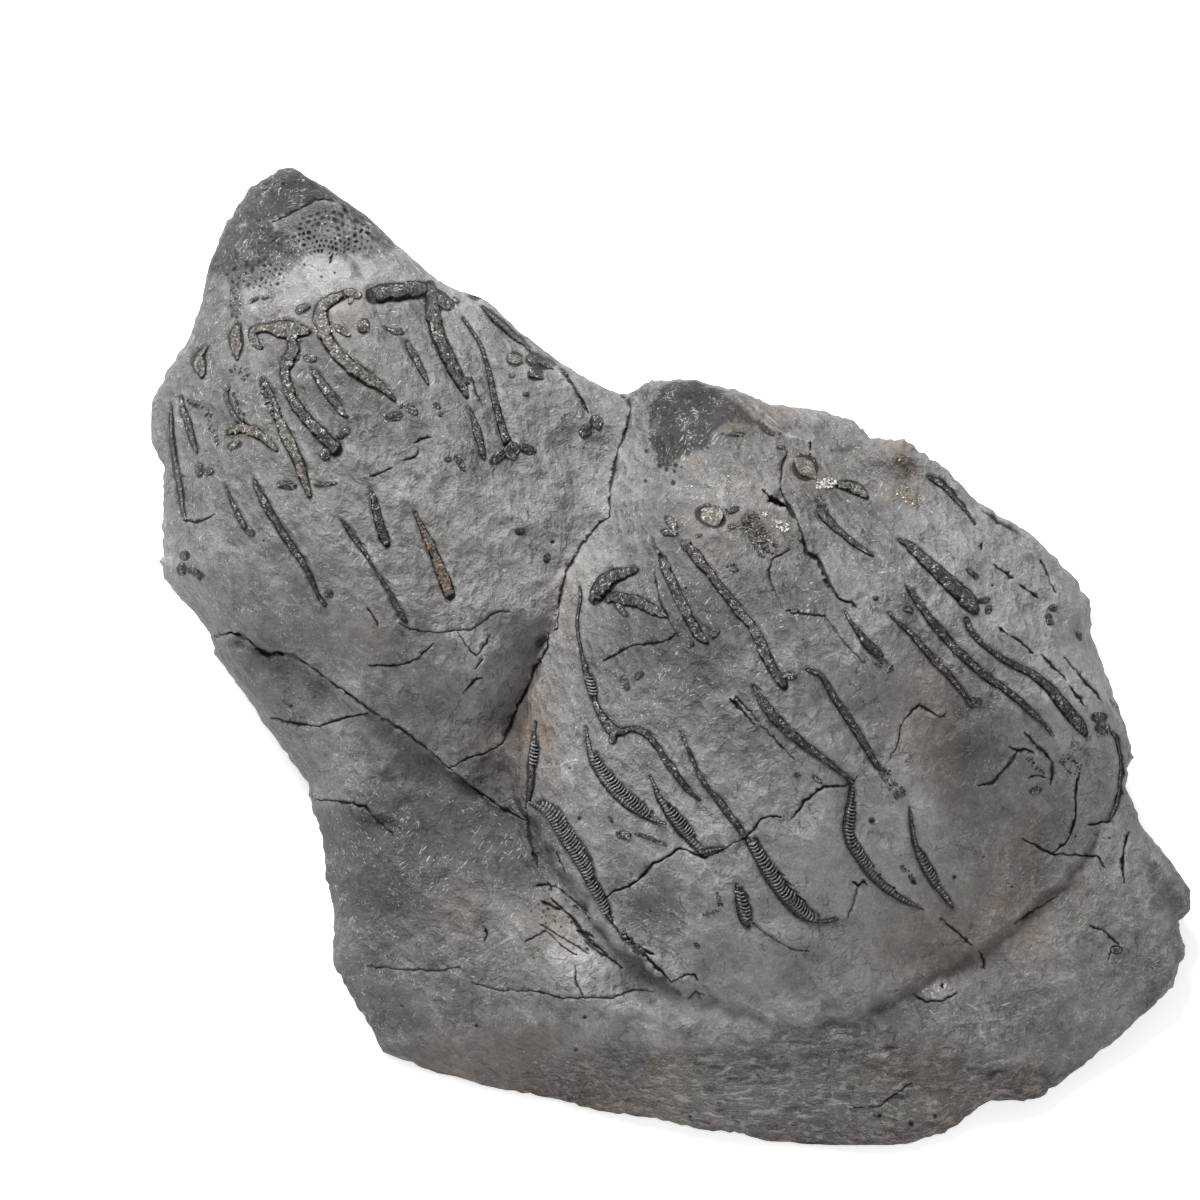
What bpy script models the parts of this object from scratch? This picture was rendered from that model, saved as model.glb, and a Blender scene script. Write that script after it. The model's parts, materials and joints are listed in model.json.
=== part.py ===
"""Two pyritized crinoid crowns standing in relief on one block of dark mudstone.

The block lies on its back on a flat underside, and its fossil face leans a
little toward the front. Every point of that face is given in the plane of the
face, in millimetres: across (to the right), up (toward the back edge) and lift
(out of the plane). The exposed arm sections sit in fitted sockets in the
mudstone, each one its own solid.
"""

import math

import bmesh
import bpy
import numpy as np
from mathutils import Vector, noise
from mathutils.bvhtree import BVHTree
from mathutils.geometry import delaunay_2d_cdt

# Scene units are metres. Every dimension below is in millimetres.
MM = 0.001

# Lean of the fossil face away from level, and its sine and cosine.
FACE_LEAN = math.radians(20.0)
LEAN_SIN = math.sin(FACE_LEAN)
LEAN_COS = math.cos(FACE_LEAN)

# Clearance between an arm section and the wall of its socket, and how much
# farther than the sides a corner of the socket moves out to keep it.
SOCKET_GAP = 0.3
CORNER_GROWTH = 1.25

# Spacing of the points that carry the face of the block.
FACE_STEP = 9.4
RIM_INSET = 4.5
GRID_MARGIN = 8.5

# Heights of the rings of the side walls, as shares of the rim height, and how
# far the broken stone sways in and out between them.
WALL_LEVELS = (0.8, 0.56, 0.32, 0.1)
WALL_HOLLOW = 1.0
WALL_SWAY = 3.4
WALL_SWAY_SIZE = 21.0

# The underside is set in from the rim by a little, and more below a high rim.
BLOCK_MIDDLE = (0.0, 140.0)
FLOOR_INSET = 0.6
FLOOR_SLANT = 0.07

# Rounded edge that runs round the face: its width, and its fall below a low
# rim, per millimetre of rim height and at most.
EDGE_WIDTH = 15.0
EDGE_FALL_LOW = 1.5
EDGE_FALL_SHARE = 0.28
EDGE_FALL_MOST = 13.0

# Where the mudstone carries its full lumps and steps, in from the rim.
RIM_FADE = 12.0

# Lumps of the face: height and size.
LUMP_HEIGHT = 1.3
LUMP_SIZE = 24.0

# Rim of the face, clockwise from the tip of the left crown:
# across, up, height above the ground.
RIM = (
    (-128.5, 326.5, 100), (-134, 324.5, 97), (-140, 320, 92), (-146, 311.5, 87),
    (-150.5, 302.5, 83), (-154.5, 291, 79), (-156.5, 281.5, 76), (-160, 270, 72),
    (-168.5, 256.5, 65), (-173.5, 247.5, 60), (-174, 235.5, 55), (-169, 226.5, 58),
    (-169, 215, 55), (-169.5, 205, 51), (-169, 196.5, 48), (-170.5, 194.5, 46),
    (-168.5, 188.5, 45), (-164, 182.5, 44), (-157.5, 176.5, 45), (-152.5, 169, 46),
    (-151.5, 163.5, 43), (-143.5, 152.5, 38), (-130, 133.5, 32), (-120.5, 120.5, 27),
    (-119.5, 112.5, 24), (-115.5, 103, 20), (-114.5, 88.5, 16), (-112, 80, 13),
    (-112, 60, 8), (-106.5, 50, 5), (-100, 40, 4), (-95.5, 31, 3),
    (-80, 25, 2), (-56.5, 19, 2), (-36.5, 15.5, 2), (-23.5, 11.5, 2),
    (-6.5, 9.5, 2), (10, 5.5, 2), (21.5, 4.5, 2), (33.5, 1.5, 2),
    (60, -0.5, 2), (78.5, 0.5, 2), (91.5, 4.5, 3), (102.5, 12.5, 5),
    (105, 15, 8), (121.5, 15, 6), (135, 24.5, 6), (146.5, 33.5, 8),
    (160, 45.5, 10), (167.5, 52.5, 12), (172, 65, 14), (169.5, 74.5, 17),
    (174.5, 79, 15), (173.5, 85, 18), (166.5, 95, 24), (157.5, 106, 30),
    (152.5, 118.5, 36), (152, 125.5, 39), (154.5, 129, 40), (150.5, 143.5, 46),
    (146.5, 153.5, 52), (140.5, 168.5, 58), (139.5, 181.5, 64), (133.5, 190, 68),
    (124, 199.5, 74), (120, 204, 76), (110, 209, 82), (100, 216, 86),
    (91.5, 225, 92), (81.5, 231.5, 97), (77.5, 234.5, 99), (66.5, 235.5, 92),
    (60, 241.5, 84), (50, 244.5, 84), (33.5, 246.5, 92), (23.5, 250.5, 100),
    (6.5, 254.5, 104), (-6, 254.5, 98), (-14, 249.5, 84), (-23.5, 252.5, 86),
    (-36.5, 260.5, 88), (-50, 271, 90), (-60.5, 281, 94), (-75, 286.5, 96),
    (-80, 290.5, 98), (-91.5, 300.5, 98), (-100, 309, 100), (-113.5, 318.5, 102),
    (-123.5, 325, 103),
)

# Height points of the face: across, up, lift.
LEFT_CROWN_HEIGHTS = (
    (-123, 313, 2), (-113, 300, 12), (-130, 290, 10), (-100, 290, 18),
    (-113, 275, 30), (-140, 262, 20), (-113, 250, 40), (-113, 228, 45),
    (-145, 225, 25), (-85, 262, 30), (-75, 235, 38), (-62, 262, 20),
    (-46, 240, 22), (-120, 200, 40), (-90, 200, 44), (-60, 210, 34),
    (-150, 195, 15), (-123, 174, 26), (-95, 172, 36), (-70, 182, 37),
    (-45, 208, 27), (-58, 165, 30), (-75, 150, 26), (-100, 150, 22),
)
RIGHT_CROWN_HEIGHTS = (
    (10, 246, 30), (17, 235, 40), (35, 235, 30), (-5, 238, 26),
    (-5, 215, 40), (17, 215, 50), (45, 220, 36), (60, 225, 20),
    (78, 222, 24), (-14, 198, 38), (-23, 175, 40), (10, 190, 60),
    (43, 195, 52), (75, 200, 40), (95, 200, 34), (115, 190, 24),
    (-33, 150, 38), (-7, 148, 58), (20, 165, 66), (43, 165, 66),
    (75, 170, 52), (103, 178, 38), (127, 165, 26), (127, 145, 28),
    (100, 150, 40), (83, 145, 44), (60, 145, 56), (30, 130, 64),
    (0, 115, 56), (-30, 110, 46), (-42, 128, 33), (-40, 104, 34),
    (60, 115, 52), (85, 115, 40), (105, 120, 29), (130, 118, 14),
    (-20, 85, 44), (27, 98, 56), (60, 90, 44), (85, 92, 34),
    (43, 75, 44), (0, 70, 44),
)
SADDLE_HEIGHTS = (
    (-18, 228, 15), (-22, 208, 21), (-31, 195, 25), (-38, 180, 27),
    (-42, 165, 27), (-48, 150, 22), (-57, 138, 17), (-56, 122, 15),
    (-54, 104, 16),
)
SLAB_HEIGHTS = (
    (-107, 115, 7), (-85, 125, 10), (-66, 122, 13), (-95, 85, 8),
    (-70, 95, 13), (-92, 58, 5), (-62, 62, 17), (-30, 60, 34),
    (0, 48, 36), (43, 52, 33), (80, 70, 24), (97, 58, 14),
    (125, 62, 12), (150, 70, 4), (145, 98, 6), (112, 95, 20),
    (60, 40, 30), (90, 38, 20), (20, 28, 28), (-30, 35, 22),
    (43, 28, 26), (122, 38, 8), (80, 15, 11), (43, 11, 9),
    (0, 20, 17), (-62, 37, 10),
)

# Steps of the face, each along a line: the mudstone on the right-hand side of
# the line, as it runs, drops by the given height and rises again over the reach.
STEP_SLOPE = 1.5
LEDGE_LINE = (
    (-153, 169.5), (-140.5, 168), (-128, 164), (-119.5, 159),
    (-110, 151.5), (-100.5, 144.5), (-88.5, 138), (-73.5, 125.5),
)
CROWN_SIDE_LINE = (
    (-43, 160), (-47, 146), (-48.5, 134), (-49.5, 124), (-49.5, 114),
    (-45, 107), (-39, 99), (-32.5, 89), (-25.5, 77), (-17, 67), (-7, 60),
)
CROWN_FOOT_LINE = (
    (-7, 60), (6, 55), (21, 48), (35, 42.5), (50, 41.5), (63, 43.5),
    (77, 51.5), (91, 59), (103, 66), (116, 76), (130, 88), (138, 97),
)
SLAB_LEDGE_LINE = ((-119, 115), (-107, 112.5), (-99, 109.5))
STEPS = (
    (LEDGE_LINE, 5.5, 15.0),
    (CROWN_SIDE_LINE, 9.0, 13.0),
    (CROWN_FOOT_LINE, 4.5, 11.0),
    (SLAB_LEDGE_LINE, 2.0, 12.0),
)

# Seam between the crowns, from the notch in the rim down to the slab.
SEAM_LINE = (
    (-13.5, 249), (-14, 241), (-17.5, 231), (-20, 217.5), (-20, 209.5),
    (-29, 200.5), (-35, 191), (-37, 180), (-40, 165), (-48, 150), (-53, 141),
)
SEAM_DEPTH = 4.0
SEAM_WIDTH = 5.0

# Distance of the mesh points on either side of such a line, their spacing, and
# the strip that they keep free of other points.
LINE_SIDE = 1.8
LINE_STEP = 8.0
LINE_CLEAR = 5.5

# Arm sections: name, width, then the points of the centre line (across, up).
LEFT_ARMS = (
    ("left_cup_plate_1", 4.6, ((-143, 272), (-144.5, 268.5), (-146, 264.5))),
    ("left_cup_plate_2", 4.2, ((-138.5, 268), (-137.5, 273), (-131.5, 275), (-126, 274.5))),
    ("left_arm_1", 4.2, ((-123.5, 270.5), (-125.5, 264), (-128, 258.5), (-127.5, 250.5),
                         (-122.5, 244.5), (-118, 238.5), (-113, 231.5))),
    ("left_arm_2", 4.8, ((-107, 284.5), (-112.5, 282.5), (-115.5, 277.5), (-114.5, 271.5),
                         (-112.5, 266), (-108.5, 261), (-102.5, 256.5), (-97, 253),
                         (-92, 249.5))),
    ("left_arm_3", 3.0, ((-118, 258), (-113.5, 251.5), (-108, 244))),
    ("left_arm_4", 4.0, ((-136, 250.5), (-131.5, 241.5), (-127.5, 236), (-124, 228.5),
                         (-120.5, 217.5))),
    ("left_arm_5", 2.4, ((-166, 250.5), (-165.5, 243.5), (-165, 234), (-163.5, 223.5),
                         (-161.5, 211))),
    ("left_arm_6", 2.4, ((-161.5, 249), (-160.5, 242), (-158.5, 236.5), (-156, 231.5))),
    ("left_leaf", 4.4, ((-156.5, 266), (-158, 261.5), (-155.5, 257.5))),
    ("left_arm_7", 2.6, ((-148.5, 253), (-149, 247.5), (-145, 242.5))),
    ("left_branch", 3.0, ((-147, 234.5), (-142, 236.5), (-136.5, 235), (-131.5, 231.5))),
    ("left_arm_8", 2.2, ((-148, 220.5), (-144.5, 211.5), (-141.5, 204.5))),
    ("left_arm_9", 2.6, ((-138.5, 221.5), (-130, 208), (-122, 195), (-116.5, 183))),
    ("left_arm_10", 2.4, ((-109, 208), (-100.5, 195.5), (-94.5, 185), (-87.5, 175.5))),
    ("left_arm_11", 3.2, ((-99.5, 218), (-97, 209.5), (-95, 201.5))),
    ("left_arm_12", 4.0, ((-84.5, 209.5), (-80.5, 200.5), (-77, 192.5), (-73.5, 184.5))),
    ("left_arm_13", 5.2, ((-99, 284), (-92, 286), (-85.5, 286.5))),
    ("left_arm_14", 5.0, ((-80, 284.5), (-78.5, 279), (-78.5, 272.5), (-76, 266.5),
                          (-73, 260), (-69.5, 254), (-67.5, 249))),
    ("left_arm_15", 3.0, ((-68.5, 276), (-63.5, 268), (-61, 260), (-59, 251.5),
                          (-56, 242), (-54.5, 233.5))),
    ("left_arm_16", 2.4, ((-66, 245), (-64, 238), (-62, 229.5))),
    ("left_arm_17", 2.4, ((-87, 267), (-84, 261), (-81, 255))),
    ("left_arm_18", 3.0, ((-61, 277), (-54, 270.5), (-47.5, 265))),
)
RIGHT_ARMS = (
    ("right_arm_1", 5.2, ((-27, 182.5), (-19.5, 188.5), (-11.5, 191.5))),
    ("right_arm_2", 4.0, ((-19, 182), (-11.5, 180.5), (-2.5, 177))),
    ("right_arm_3", 3.8, ((-3, 192.5), (3, 182), (8, 173.5), (12, 168))),
    ("right_arm_4", 3.8, ((5, 198.5), (12.5, 191.5), (20, 182.5), (27, 174), (31.5, 165),
                          (36, 156))),
    ("right_arm_5", 3.0, ((45.5, 157.5), (52, 154), (56.5, 146), (62.5, 135.5),
                          (68.5, 126.5))),
    ("right_arm_6", 2.8, ((79.5, 111.5), (81.5, 103), (84.5, 94), (89, 84.5), (94, 79.5))),
    ("right_arm_7", 3.2, ((60.5, 120.5), (58.5, 112), (59.5, 101), (64, 92), (73, 84),
                          (83, 78.5))),
    ("right_arm_8", 3.0, ((28, 152), (34, 144), (43, 134.5), (51, 129), (59, 123.5))),
    ("right_arm_9", 2.6, ((3.5, 137.5), (8.5, 125.5), (15, 115), (24, 103))),
    ("right_arm_10", 3.2, ((27, 98.5), (33, 88.5), (41, 79.5), (54.5, 75.5))),
    ("right_arm_11", 3.4, ((-28, 139), (-26.5, 129), (-22, 121), (-15, 113.5), (-6, 108.5))),
    ("right_arm_12", 3.2, ((-6.5, 122.5), (-2, 113), (5, 103.5), (14, 99.5))),
    ("right_arm_13", 2.6, ((-30, 180), (-30, 168), (-28.5, 158), (-25, 148))),
    ("right_arm_14", 3.4, ((-13, 138), (-6.5, 136), (-1, 130), (5, 121), (10, 115.5))),
    ("right_arm_15", 3.4, ((-44, 144), (-45.5, 134), (-46.5, 124), (-46, 115))),
    ("right_arm_16", 4.0, ((-42, 111), (-36, 103), (-29.5, 92.5), (-22.5, 79))),
    ("right_leaf", 3.8, ((22, 88), (24, 80.5), (25.5, 74))),
    ("right_plate", 4.2, ((57, 221.5), (60.5, 219), (64.5, 216.5))),
    ("right_arm_17", 3.2, ((49.5, 211.5), (54, 206.5), (61, 201.5), (68, 197))),
    ("right_arm_18", 2.6, ((87, 223), (93.5, 217), (100.5, 208.5))),
    ("right_arm_19", 4.6, ((75.5, 202.5), (85, 194.5), (93.5, 186.5), (100.5, 180))),
    ("right_arm_20", 3.4, ((98.5, 176), (102.5, 169), (111, 162), (124, 154), (132, 146.5),
                           (138, 138.5))),
    ("right_arm_21", 3.2, ((78.5, 186), (85.5, 177), (94, 166.5), (103.5, 157.5),
                           (115, 149.5), (125.5, 138))),
    ("right_arm_22", 2.6, ((72.5, 177), (81, 169.5), (88.5, 159.5), (97, 148.5),
                           (102, 143))),
    ("right_arm_23", 3.0, ((58.5, 177), (64.5, 168.5), (69.5, 162.5))),
    ("right_arm_24", 2.4, ((148.5, 136.5), (150, 128.5), (149.5, 120.5), (146.5, 110))),
)

# Cross-section of an arm section, from its left edge over the top to the keel:
# sideways and outward, as shares of the width.
ARM_SECTION = ((-0.5, 0.0), (-0.28, 0.34), (0.28, 0.34), (0.5, 0.0), (0.0, -0.42))
ARM_TIP_SHARE = 0.55

# Colour, roughness and metallic of the two materials.
MUDSTONE = ((0.16, 0.155, 0.15, 1.0), 0.9, 0.0)
PYRITIZED = ((0.045, 0.038, 0.032, 1.0), 0.5, 0.25)


def to_world(across, up, lift):
    """Turn a point of the face plane into the lying position."""
    return Vector(
        (across, up * LEAN_COS - lift * LEAN_SIN, up * LEAN_SIN + lift * LEAN_COS)
    )


def rim_lift(up, height):
    """Lift of a rim point that stands at the given height above the ground."""
    return (height - up * LEAN_SIN) / LEAN_COS


def edge_drop(height):
    """How far the rounded edge falls from the face to rim points."""
    return np.minimum(EDGE_FALL_MOST, EDGE_FALL_LOW + EDGE_FALL_SHARE * height)


def distance_to_line(points, line):
    """Distance of each point to an open line, and the side it lies on."""
    best = np.full(len(points), 1e9)
    side = np.zeros(len(points))
    for start, end in zip(line[:-1], line[1:]):
        a = np.array(start[:2], float)
        b = np.array(end[:2], float)
        along = b - a
        share = np.clip((points - a) @ along / (along @ along), 0.0, 1.0)
        gap = points - (a + share[:, None] * along)
        reach = np.hypot(gap[:, 0], gap[:, 1])
        closer = reach < best
        best[closer] = reach[closer]
        cross = along[0] * (points[:, 1] - a[1]) - along[1] * (points[:, 0] - a[0])
        side[closer] = np.sign(cross[closer])
    return best, side


def spline_kernel(first, second):
    """Thin-plate kernel between two sets of points."""
    gap = first[:, None, :] - second[None, :, :]
    square = (gap ** 2).sum(axis=2) + 1e-9
    return 0.5 * square * np.log(square)


class Face:
    """Relief of the fossil face as a smooth function of across and up."""

    def __init__(self):
        heights = LEFT_CROWN_HEIGHTS + RIGHT_CROWN_HEIGHTS + SADDLE_HEIGHTS + SLAB_HEIGHTS
        rim = [(a, u, rim_lift(u, h) + edge_drop(h)) for a, u, h in RIM]
        knots = np.array(list(heights) + rim, float)
        self.knots = knots[:, :2] / 100.0
        count = len(knots)
        system = np.zeros((count + 3, count + 3))
        system[:count, :count] = spline_kernel(self.knots, self.knots)
        system[:count, :count] += 2e-4 * np.eye(count)
        system[:count, count] = 1.0
        system[:count, count + 1:] = self.knots
        system[count, :count] = 1.0
        system[count + 1:, :count] = self.knots.T
        values = np.concatenate([knots[:, 2], np.zeros(3)])
        self.weights = np.linalg.solve(system, values)
        self.rim_line = [point[:2] for point in RIM] + [RIM[0][:2]]

    def edge_fall(self, points):
        """Fall of the rounded edge near the rim, zero farther inside."""
        best = np.full(len(points), 1e9)
        drop = np.zeros(len(points))
        for first, second in zip(RIM, RIM[1:] + RIM[:1]):
            a = np.array(first[:2], float)
            along = np.array(second[:2], float) - a
            share = np.clip((points - a) @ along / (along @ along), 0.0, 1.0)
            gap = points - (a + share[:, None] * along)
            reach = np.hypot(gap[:, 0], gap[:, 1])
            height = first[2] + share * (second[2] - first[2])
            fall = edge_drop(height)
            closer = reach < best
            best[closer] = reach[closer]
            drop[closer] = fall[closer]
        share = 1.0 - np.clip(best / EDGE_WIDTH, 0.0, 1.0)
        return drop * (1.0 - np.sqrt(1.0 - share ** 2)), best

    def lifts(self, points):
        """Lift of the mudstone at each (across, up)."""
        points = np.asarray(points, float)
        scaled = points / 100.0
        count = len(self.knots)
        smooth = spline_kernel(scaled, self.knots) @ self.weights[:count]
        smooth += self.weights[count] + scaled @ self.weights[count + 1:]
        fall, inside = self.edge_fall(points)
        lumps = np.array([
            noise.noise(Vector((a / LUMP_SIZE, u / LUMP_SIZE, 3.7))) for a, u in points
        ])
        fade = np.clip(inside / RIM_FADE, 0.0, 1.0)
        reach, _ = distance_to_line(points, SEAM_LINE)
        carved = SEAM_DEPTH * np.exp(-((reach / SEAM_WIDTH) ** 2))
        for line, drop, run in STEPS:
            reach, side = distance_to_line(points, line)
            onset = np.clip(-side * reach / STEP_SLOPE, 0.0, 1.0)
            carved += drop * onset * np.exp(-((reach / run) ** 2))
        return smooth - fall + fade * (LUMP_HEIGHT * lumps - carved)


def make_material(name, look):
    """Principled material from its colour, roughness and metallic."""
    colour, roughness, metallic = look
    material = bpy.data.materials.new(name)
    material.use_nodes = True
    shader = material.node_tree.nodes["Principled BSDF"]
    shader.inputs["Base Color"].default_value = colour
    shader.inputs["Roughness"].default_value = roughness
    shader.inputs["Metallic"].default_value = metallic
    return material


def face_points(face):
    """Points of the face: the rim, a row just inside it, then an even grid."""
    rim = [Vector(point[:2]) for point in RIM]
    inner = []
    for index, point in enumerate(rim):
        ahead = rim[(index + 1) % len(rim)]
        behind = rim[index - 1]
        along = (ahead - behind).normalized()
        inner.append(point + Vector((-along.y, along.x)) * RIM_INSET)
    rows = []
    row_step = FACE_STEP * math.sqrt(3.0) / 2.0
    left, low = (min(point[axis] for point in RIM) for axis in (0, 1))
    right, high = (max(point[axis] for point in RIM) for axis in (0, 1))
    for row in range(int((high - low) / row_step)):
        shift = 0.5 * FACE_STEP * (row % 2)
        for column in range(int((right - left) / FACE_STEP)):
            rows.append((left + shift + column * FACE_STEP, low + row * row_step))
    grid = np.array(rows)
    _, reach = face.edge_fall(grid)
    clear = reach - GRID_MARGIN
    beside = []
    for line in [step[0] for step in STEPS] + [SEAM_LINE]:
        gap, _ = distance_to_line(grid, line)
        clear = np.minimum(clear, gap - LINE_CLEAR)
        beside += points_beside(line)
    kept = [
        Vector(point)
        for point, gap in zip(rows, clear)
        if gap > 0.0 and inside_rim(point)
    ]
    inner = [point for point in inner if clear_of_rim(point, face)]
    for point in beside:
        if clear_of_rim(point, face) and clear_of(point, inner):
            inner.append(point)
    return rim, inner + kept


def points_beside(line):
    """Pairs of points that follow a line, one on each side of it."""
    found = []
    for start, end in zip(line[:-1], line[1:]):
        a, b = Vector(start), Vector(end)
        along = (b - a).normalized()
        across = Vector((-along.y, along.x)) * LINE_SIDE
        count = max(1, round((b - a).length / LINE_STEP))
        for index in range(count):
            spot = a.lerp(b, (index + 0.5) / count)
            found += [spot + across, spot - across]
    return found


def clear_of(point, others):
    """Whether a point keeps its distance to all the others."""
    return all((point - other).length > LINE_SIDE for other in others)


def clear_of_rim(point, face):
    """Whether a point of the inner row keeps its distance to the whole rim."""
    _, reach = face.edge_fall(np.array([point[:2]]))
    return reach[0] > 0.7 * RIM_INSET and inside_rim(point)


def inside_rim(point):
    """Whether a point of the face plane lies inside the rim."""
    inside = False
    for first, second in zip(RIM, RIM[1:] + RIM[:1]):
        if (first[1] > point[1]) != (second[1] > point[1]):
            share = (point[1] - first[1]) / (second[1] - first[1])
            if point[0] < first[0] + share * (second[0] - first[0]):
                inside = not inside
    return inside


def floor_point(across, up, height):
    """Point of the flat underside below a rim point."""
    flat = Vector((across, up))
    inward = (Vector(BLOCK_MIDDLE) - flat).normalized()
    flat += inward * (FLOOR_INSET + FLOOR_SLANT * height)
    return Vector((flat.x, flat.y / LEAN_COS, 0.0))


def smooth_ring(ring):
    """Even out a closed ring, so that its bays and spikes fade."""
    count = len(ring)
    evened = []
    for index, point in enumerate(ring):
        near = ring[index - 1] + ring[(index + 1) % count]
        far = ring[index - 2] + ring[(index + 2) % count]
        evened.append(0.3 * point + 0.22 * near + 0.13 * far)
    return evened


def build_block(face):
    """One closed mudstone block: face, side walls and flat underside."""
    rim, inner = face_points(face)
    count = len(rim)
    points = rim + inner
    edges = [(index, (index + 1) % count) for index in range(count)]
    flat, _, faces, _, _, _ = delaunay_2d_cdt(points, edges, [], 1, 1e-6)
    lifts = face.lifts([tuple(point) for point in flat])
    for index, (_, up, height) in enumerate(RIM):
        lifts[index] = rim_lift(up, height)
    mesh = bmesh.new()
    verts = [
        mesh.verts.new(to_world(point.x, point.y, lift))
        for point, lift in zip(flat, lifts)
    ]
    for corners in faces:
        mesh.faces.new([verts[corner] for corner in corners])
    ring = verts[:count]
    floor = smooth_ring([floor_point(*point) for point in RIM])
    tops = [vert.co.copy() for vert in ring]
    for level in WALL_LEVELS + (0.0,):
        lower = []
        for index in range(count):
            low, high = floor[index], tops[index]
            place = low.lerp(high, level)
            outward = Vector((low.x, low.y - BLOCK_MIDDLE[1], 0.0)).normalized()
            sway = WALL_SWAY * noise.noise(place / WALL_SWAY_SIZE) - WALL_HOLLOW
            place += outward * sway * math.sin(math.pi * level)
            lower.append(mesh.verts.new(place))
        for index in range(count):
            after = (index + 1) % count
            mesh.faces.new((ring[index], ring[after], lower[after], lower[index]))
        ring = lower
    mesh.faces.new(ring)
    bmesh.ops.recalc_face_normals(mesh, faces=mesh.faces[:])
    bmesh.ops.triangulate(mesh, faces=mesh.faces[:])
    return mesh


def arm_rings(line, width, block_tree, grow):
    """Cross-sections of one arm section along its centre line."""
    outward = Vector((0.0, -LEAN_SIN, LEAN_COS))
    centres = []
    normals = []
    for across, up in line:
        start = to_world(across, up, 200.0)
        hit, normal, _, _ = block_tree.ray_cast(start, -outward)
        centres.append(hit)
        normals.append(normal)
    rings = []
    last = len(line) - 1
    for index, centre in enumerate(centres):
        ahead = centres[min(index + 1, last)]
        behind = centres[max(index - 1, 0)]
        along = (ahead - behind).normalized()
        normal = normals[index] + normals[max(index - 1, 0)] + normals[min(index + 1, last)]
        normal = (normal - along * normal.dot(along)).normalized()
        side = along.cross(normal)
        size = width * (ARM_TIP_SHARE if index in (0, last) else 1.0)
        place = centre.copy()
        if index == 0:
            place -= along * grow
        if index == last:
            place += along * grow
        ring = []
        for sideways, out in ARM_SECTION:
            spread = Vector((sideways, out)) * size
            spread += spread.normalized() * grow * CORNER_GROWTH
            ring.append(place + side * spread.x + normal * spread.y)
        rings.append(ring)
    return rings


def skin_rings(rings):
    """Closed tube through a row of cross-sections."""
    mesh = bmesh.new()
    rows = [[mesh.verts.new(point) for point in ring] for ring in rings]
    sides = len(rows[0])
    for first, second in zip(rows[:-1], rows[1:]):
        for index in range(sides):
            after = (index + 1) % sides
            mesh.faces.new((first[index], first[after], second[after], second[index]))
    mesh.faces.new(rows[0][::-1])
    mesh.faces.new(rows[-1])
    bmesh.ops.triangulate(mesh, faces=mesh.faces[:])
    bmesh.ops.recalc_face_normals(mesh, faces=mesh.faces[:])
    return mesh


def add_object(name, mesh, shift, material):
    """Put a mesh into the scene, moved to the shared frame and in metres."""
    bmesh.ops.translate(mesh, verts=mesh.verts[:], vec=shift)
    bmesh.ops.scale(mesh, verts=mesh.verts[:], vec=(MM, MM, MM))
    data = bpy.data.meshes.new(name)
    mesh.to_mesh(data)
    mesh.free()
    item = bpy.data.objects.new(name, data)
    bpy.context.scene.collection.objects.link(item)
    item.data.materials.append(material)
    return item


def centre_shift(mesh):
    """Move that brings the middle of the base to the origin."""
    spots = np.array([vert.co for vert in mesh.verts])
    middle = 0.5 * (spots.min(axis=0) + spots.max(axis=0))
    return Vector((-middle[0], -middle[1], 0.0))


def main():
    for item in list(bpy.data.objects):
        bpy.data.objects.remove(item)
    mudstone = make_material("mudstone", MUDSTONE)
    pyritized = make_material("pyritized_fossil", PYRITIZED)
    face = Face()
    block_mesh = build_block(face)
    block_tree = BVHTree.FromBMesh(block_mesh)
    shift = centre_shift(block_mesh)
    block = add_object("mudstone_block", block_mesh, shift, mudstone)
    sockets = bpy.data.collections.new("sockets")
    bpy.context.scene.collection.children.link(sockets)
    for name, width, line in LEFT_ARMS + RIGHT_ARMS:
        body = skin_rings(arm_rings(line, width, block_tree, 0.0))
        add_object(name, body, shift, pyritized)
        room = skin_rings(arm_rings(line, width, block_tree, SOCKET_GAP))
        cutter = add_object("socket_" + name, room, shift, mudstone)
        bpy.context.scene.collection.objects.unlink(cutter)
        sockets.objects.link(cutter)
        cutter.hide_render = True
        cutter.display_type = "WIRE"
    cut = block.modifiers.new("sockets", "BOOLEAN")
    cut.operation = "DIFFERENCE"
    cut.solver = "EXACT"
    cut.operand_type = "COLLECTION"
    cut.collection = sockets


main()
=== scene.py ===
"""Two pyritized crinoid crowns in relief on a block of dark mudstone.

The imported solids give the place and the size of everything. This script lays
the fine surface over them: the prepared mudstone face with its cracks, ledges
and broken sides, the arm sections with their ossicles and pinnules, and the
crumbs and crystals that lie between them.

The fossil face is described in its own plane, in millimetres: across (to the
right), up (toward the back edge) and lift (out of the face). The plane leans a
little to the front, because the block lies on its back.
"""

import json
import logging
import math
import random
from dataclasses import dataclass
from enum import Enum

import bmesh
import bpy
import numpy as np
from mathutils import Matrix, Vector, noise
from mathutils.geometry import delaunay_2d_cdt

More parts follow.
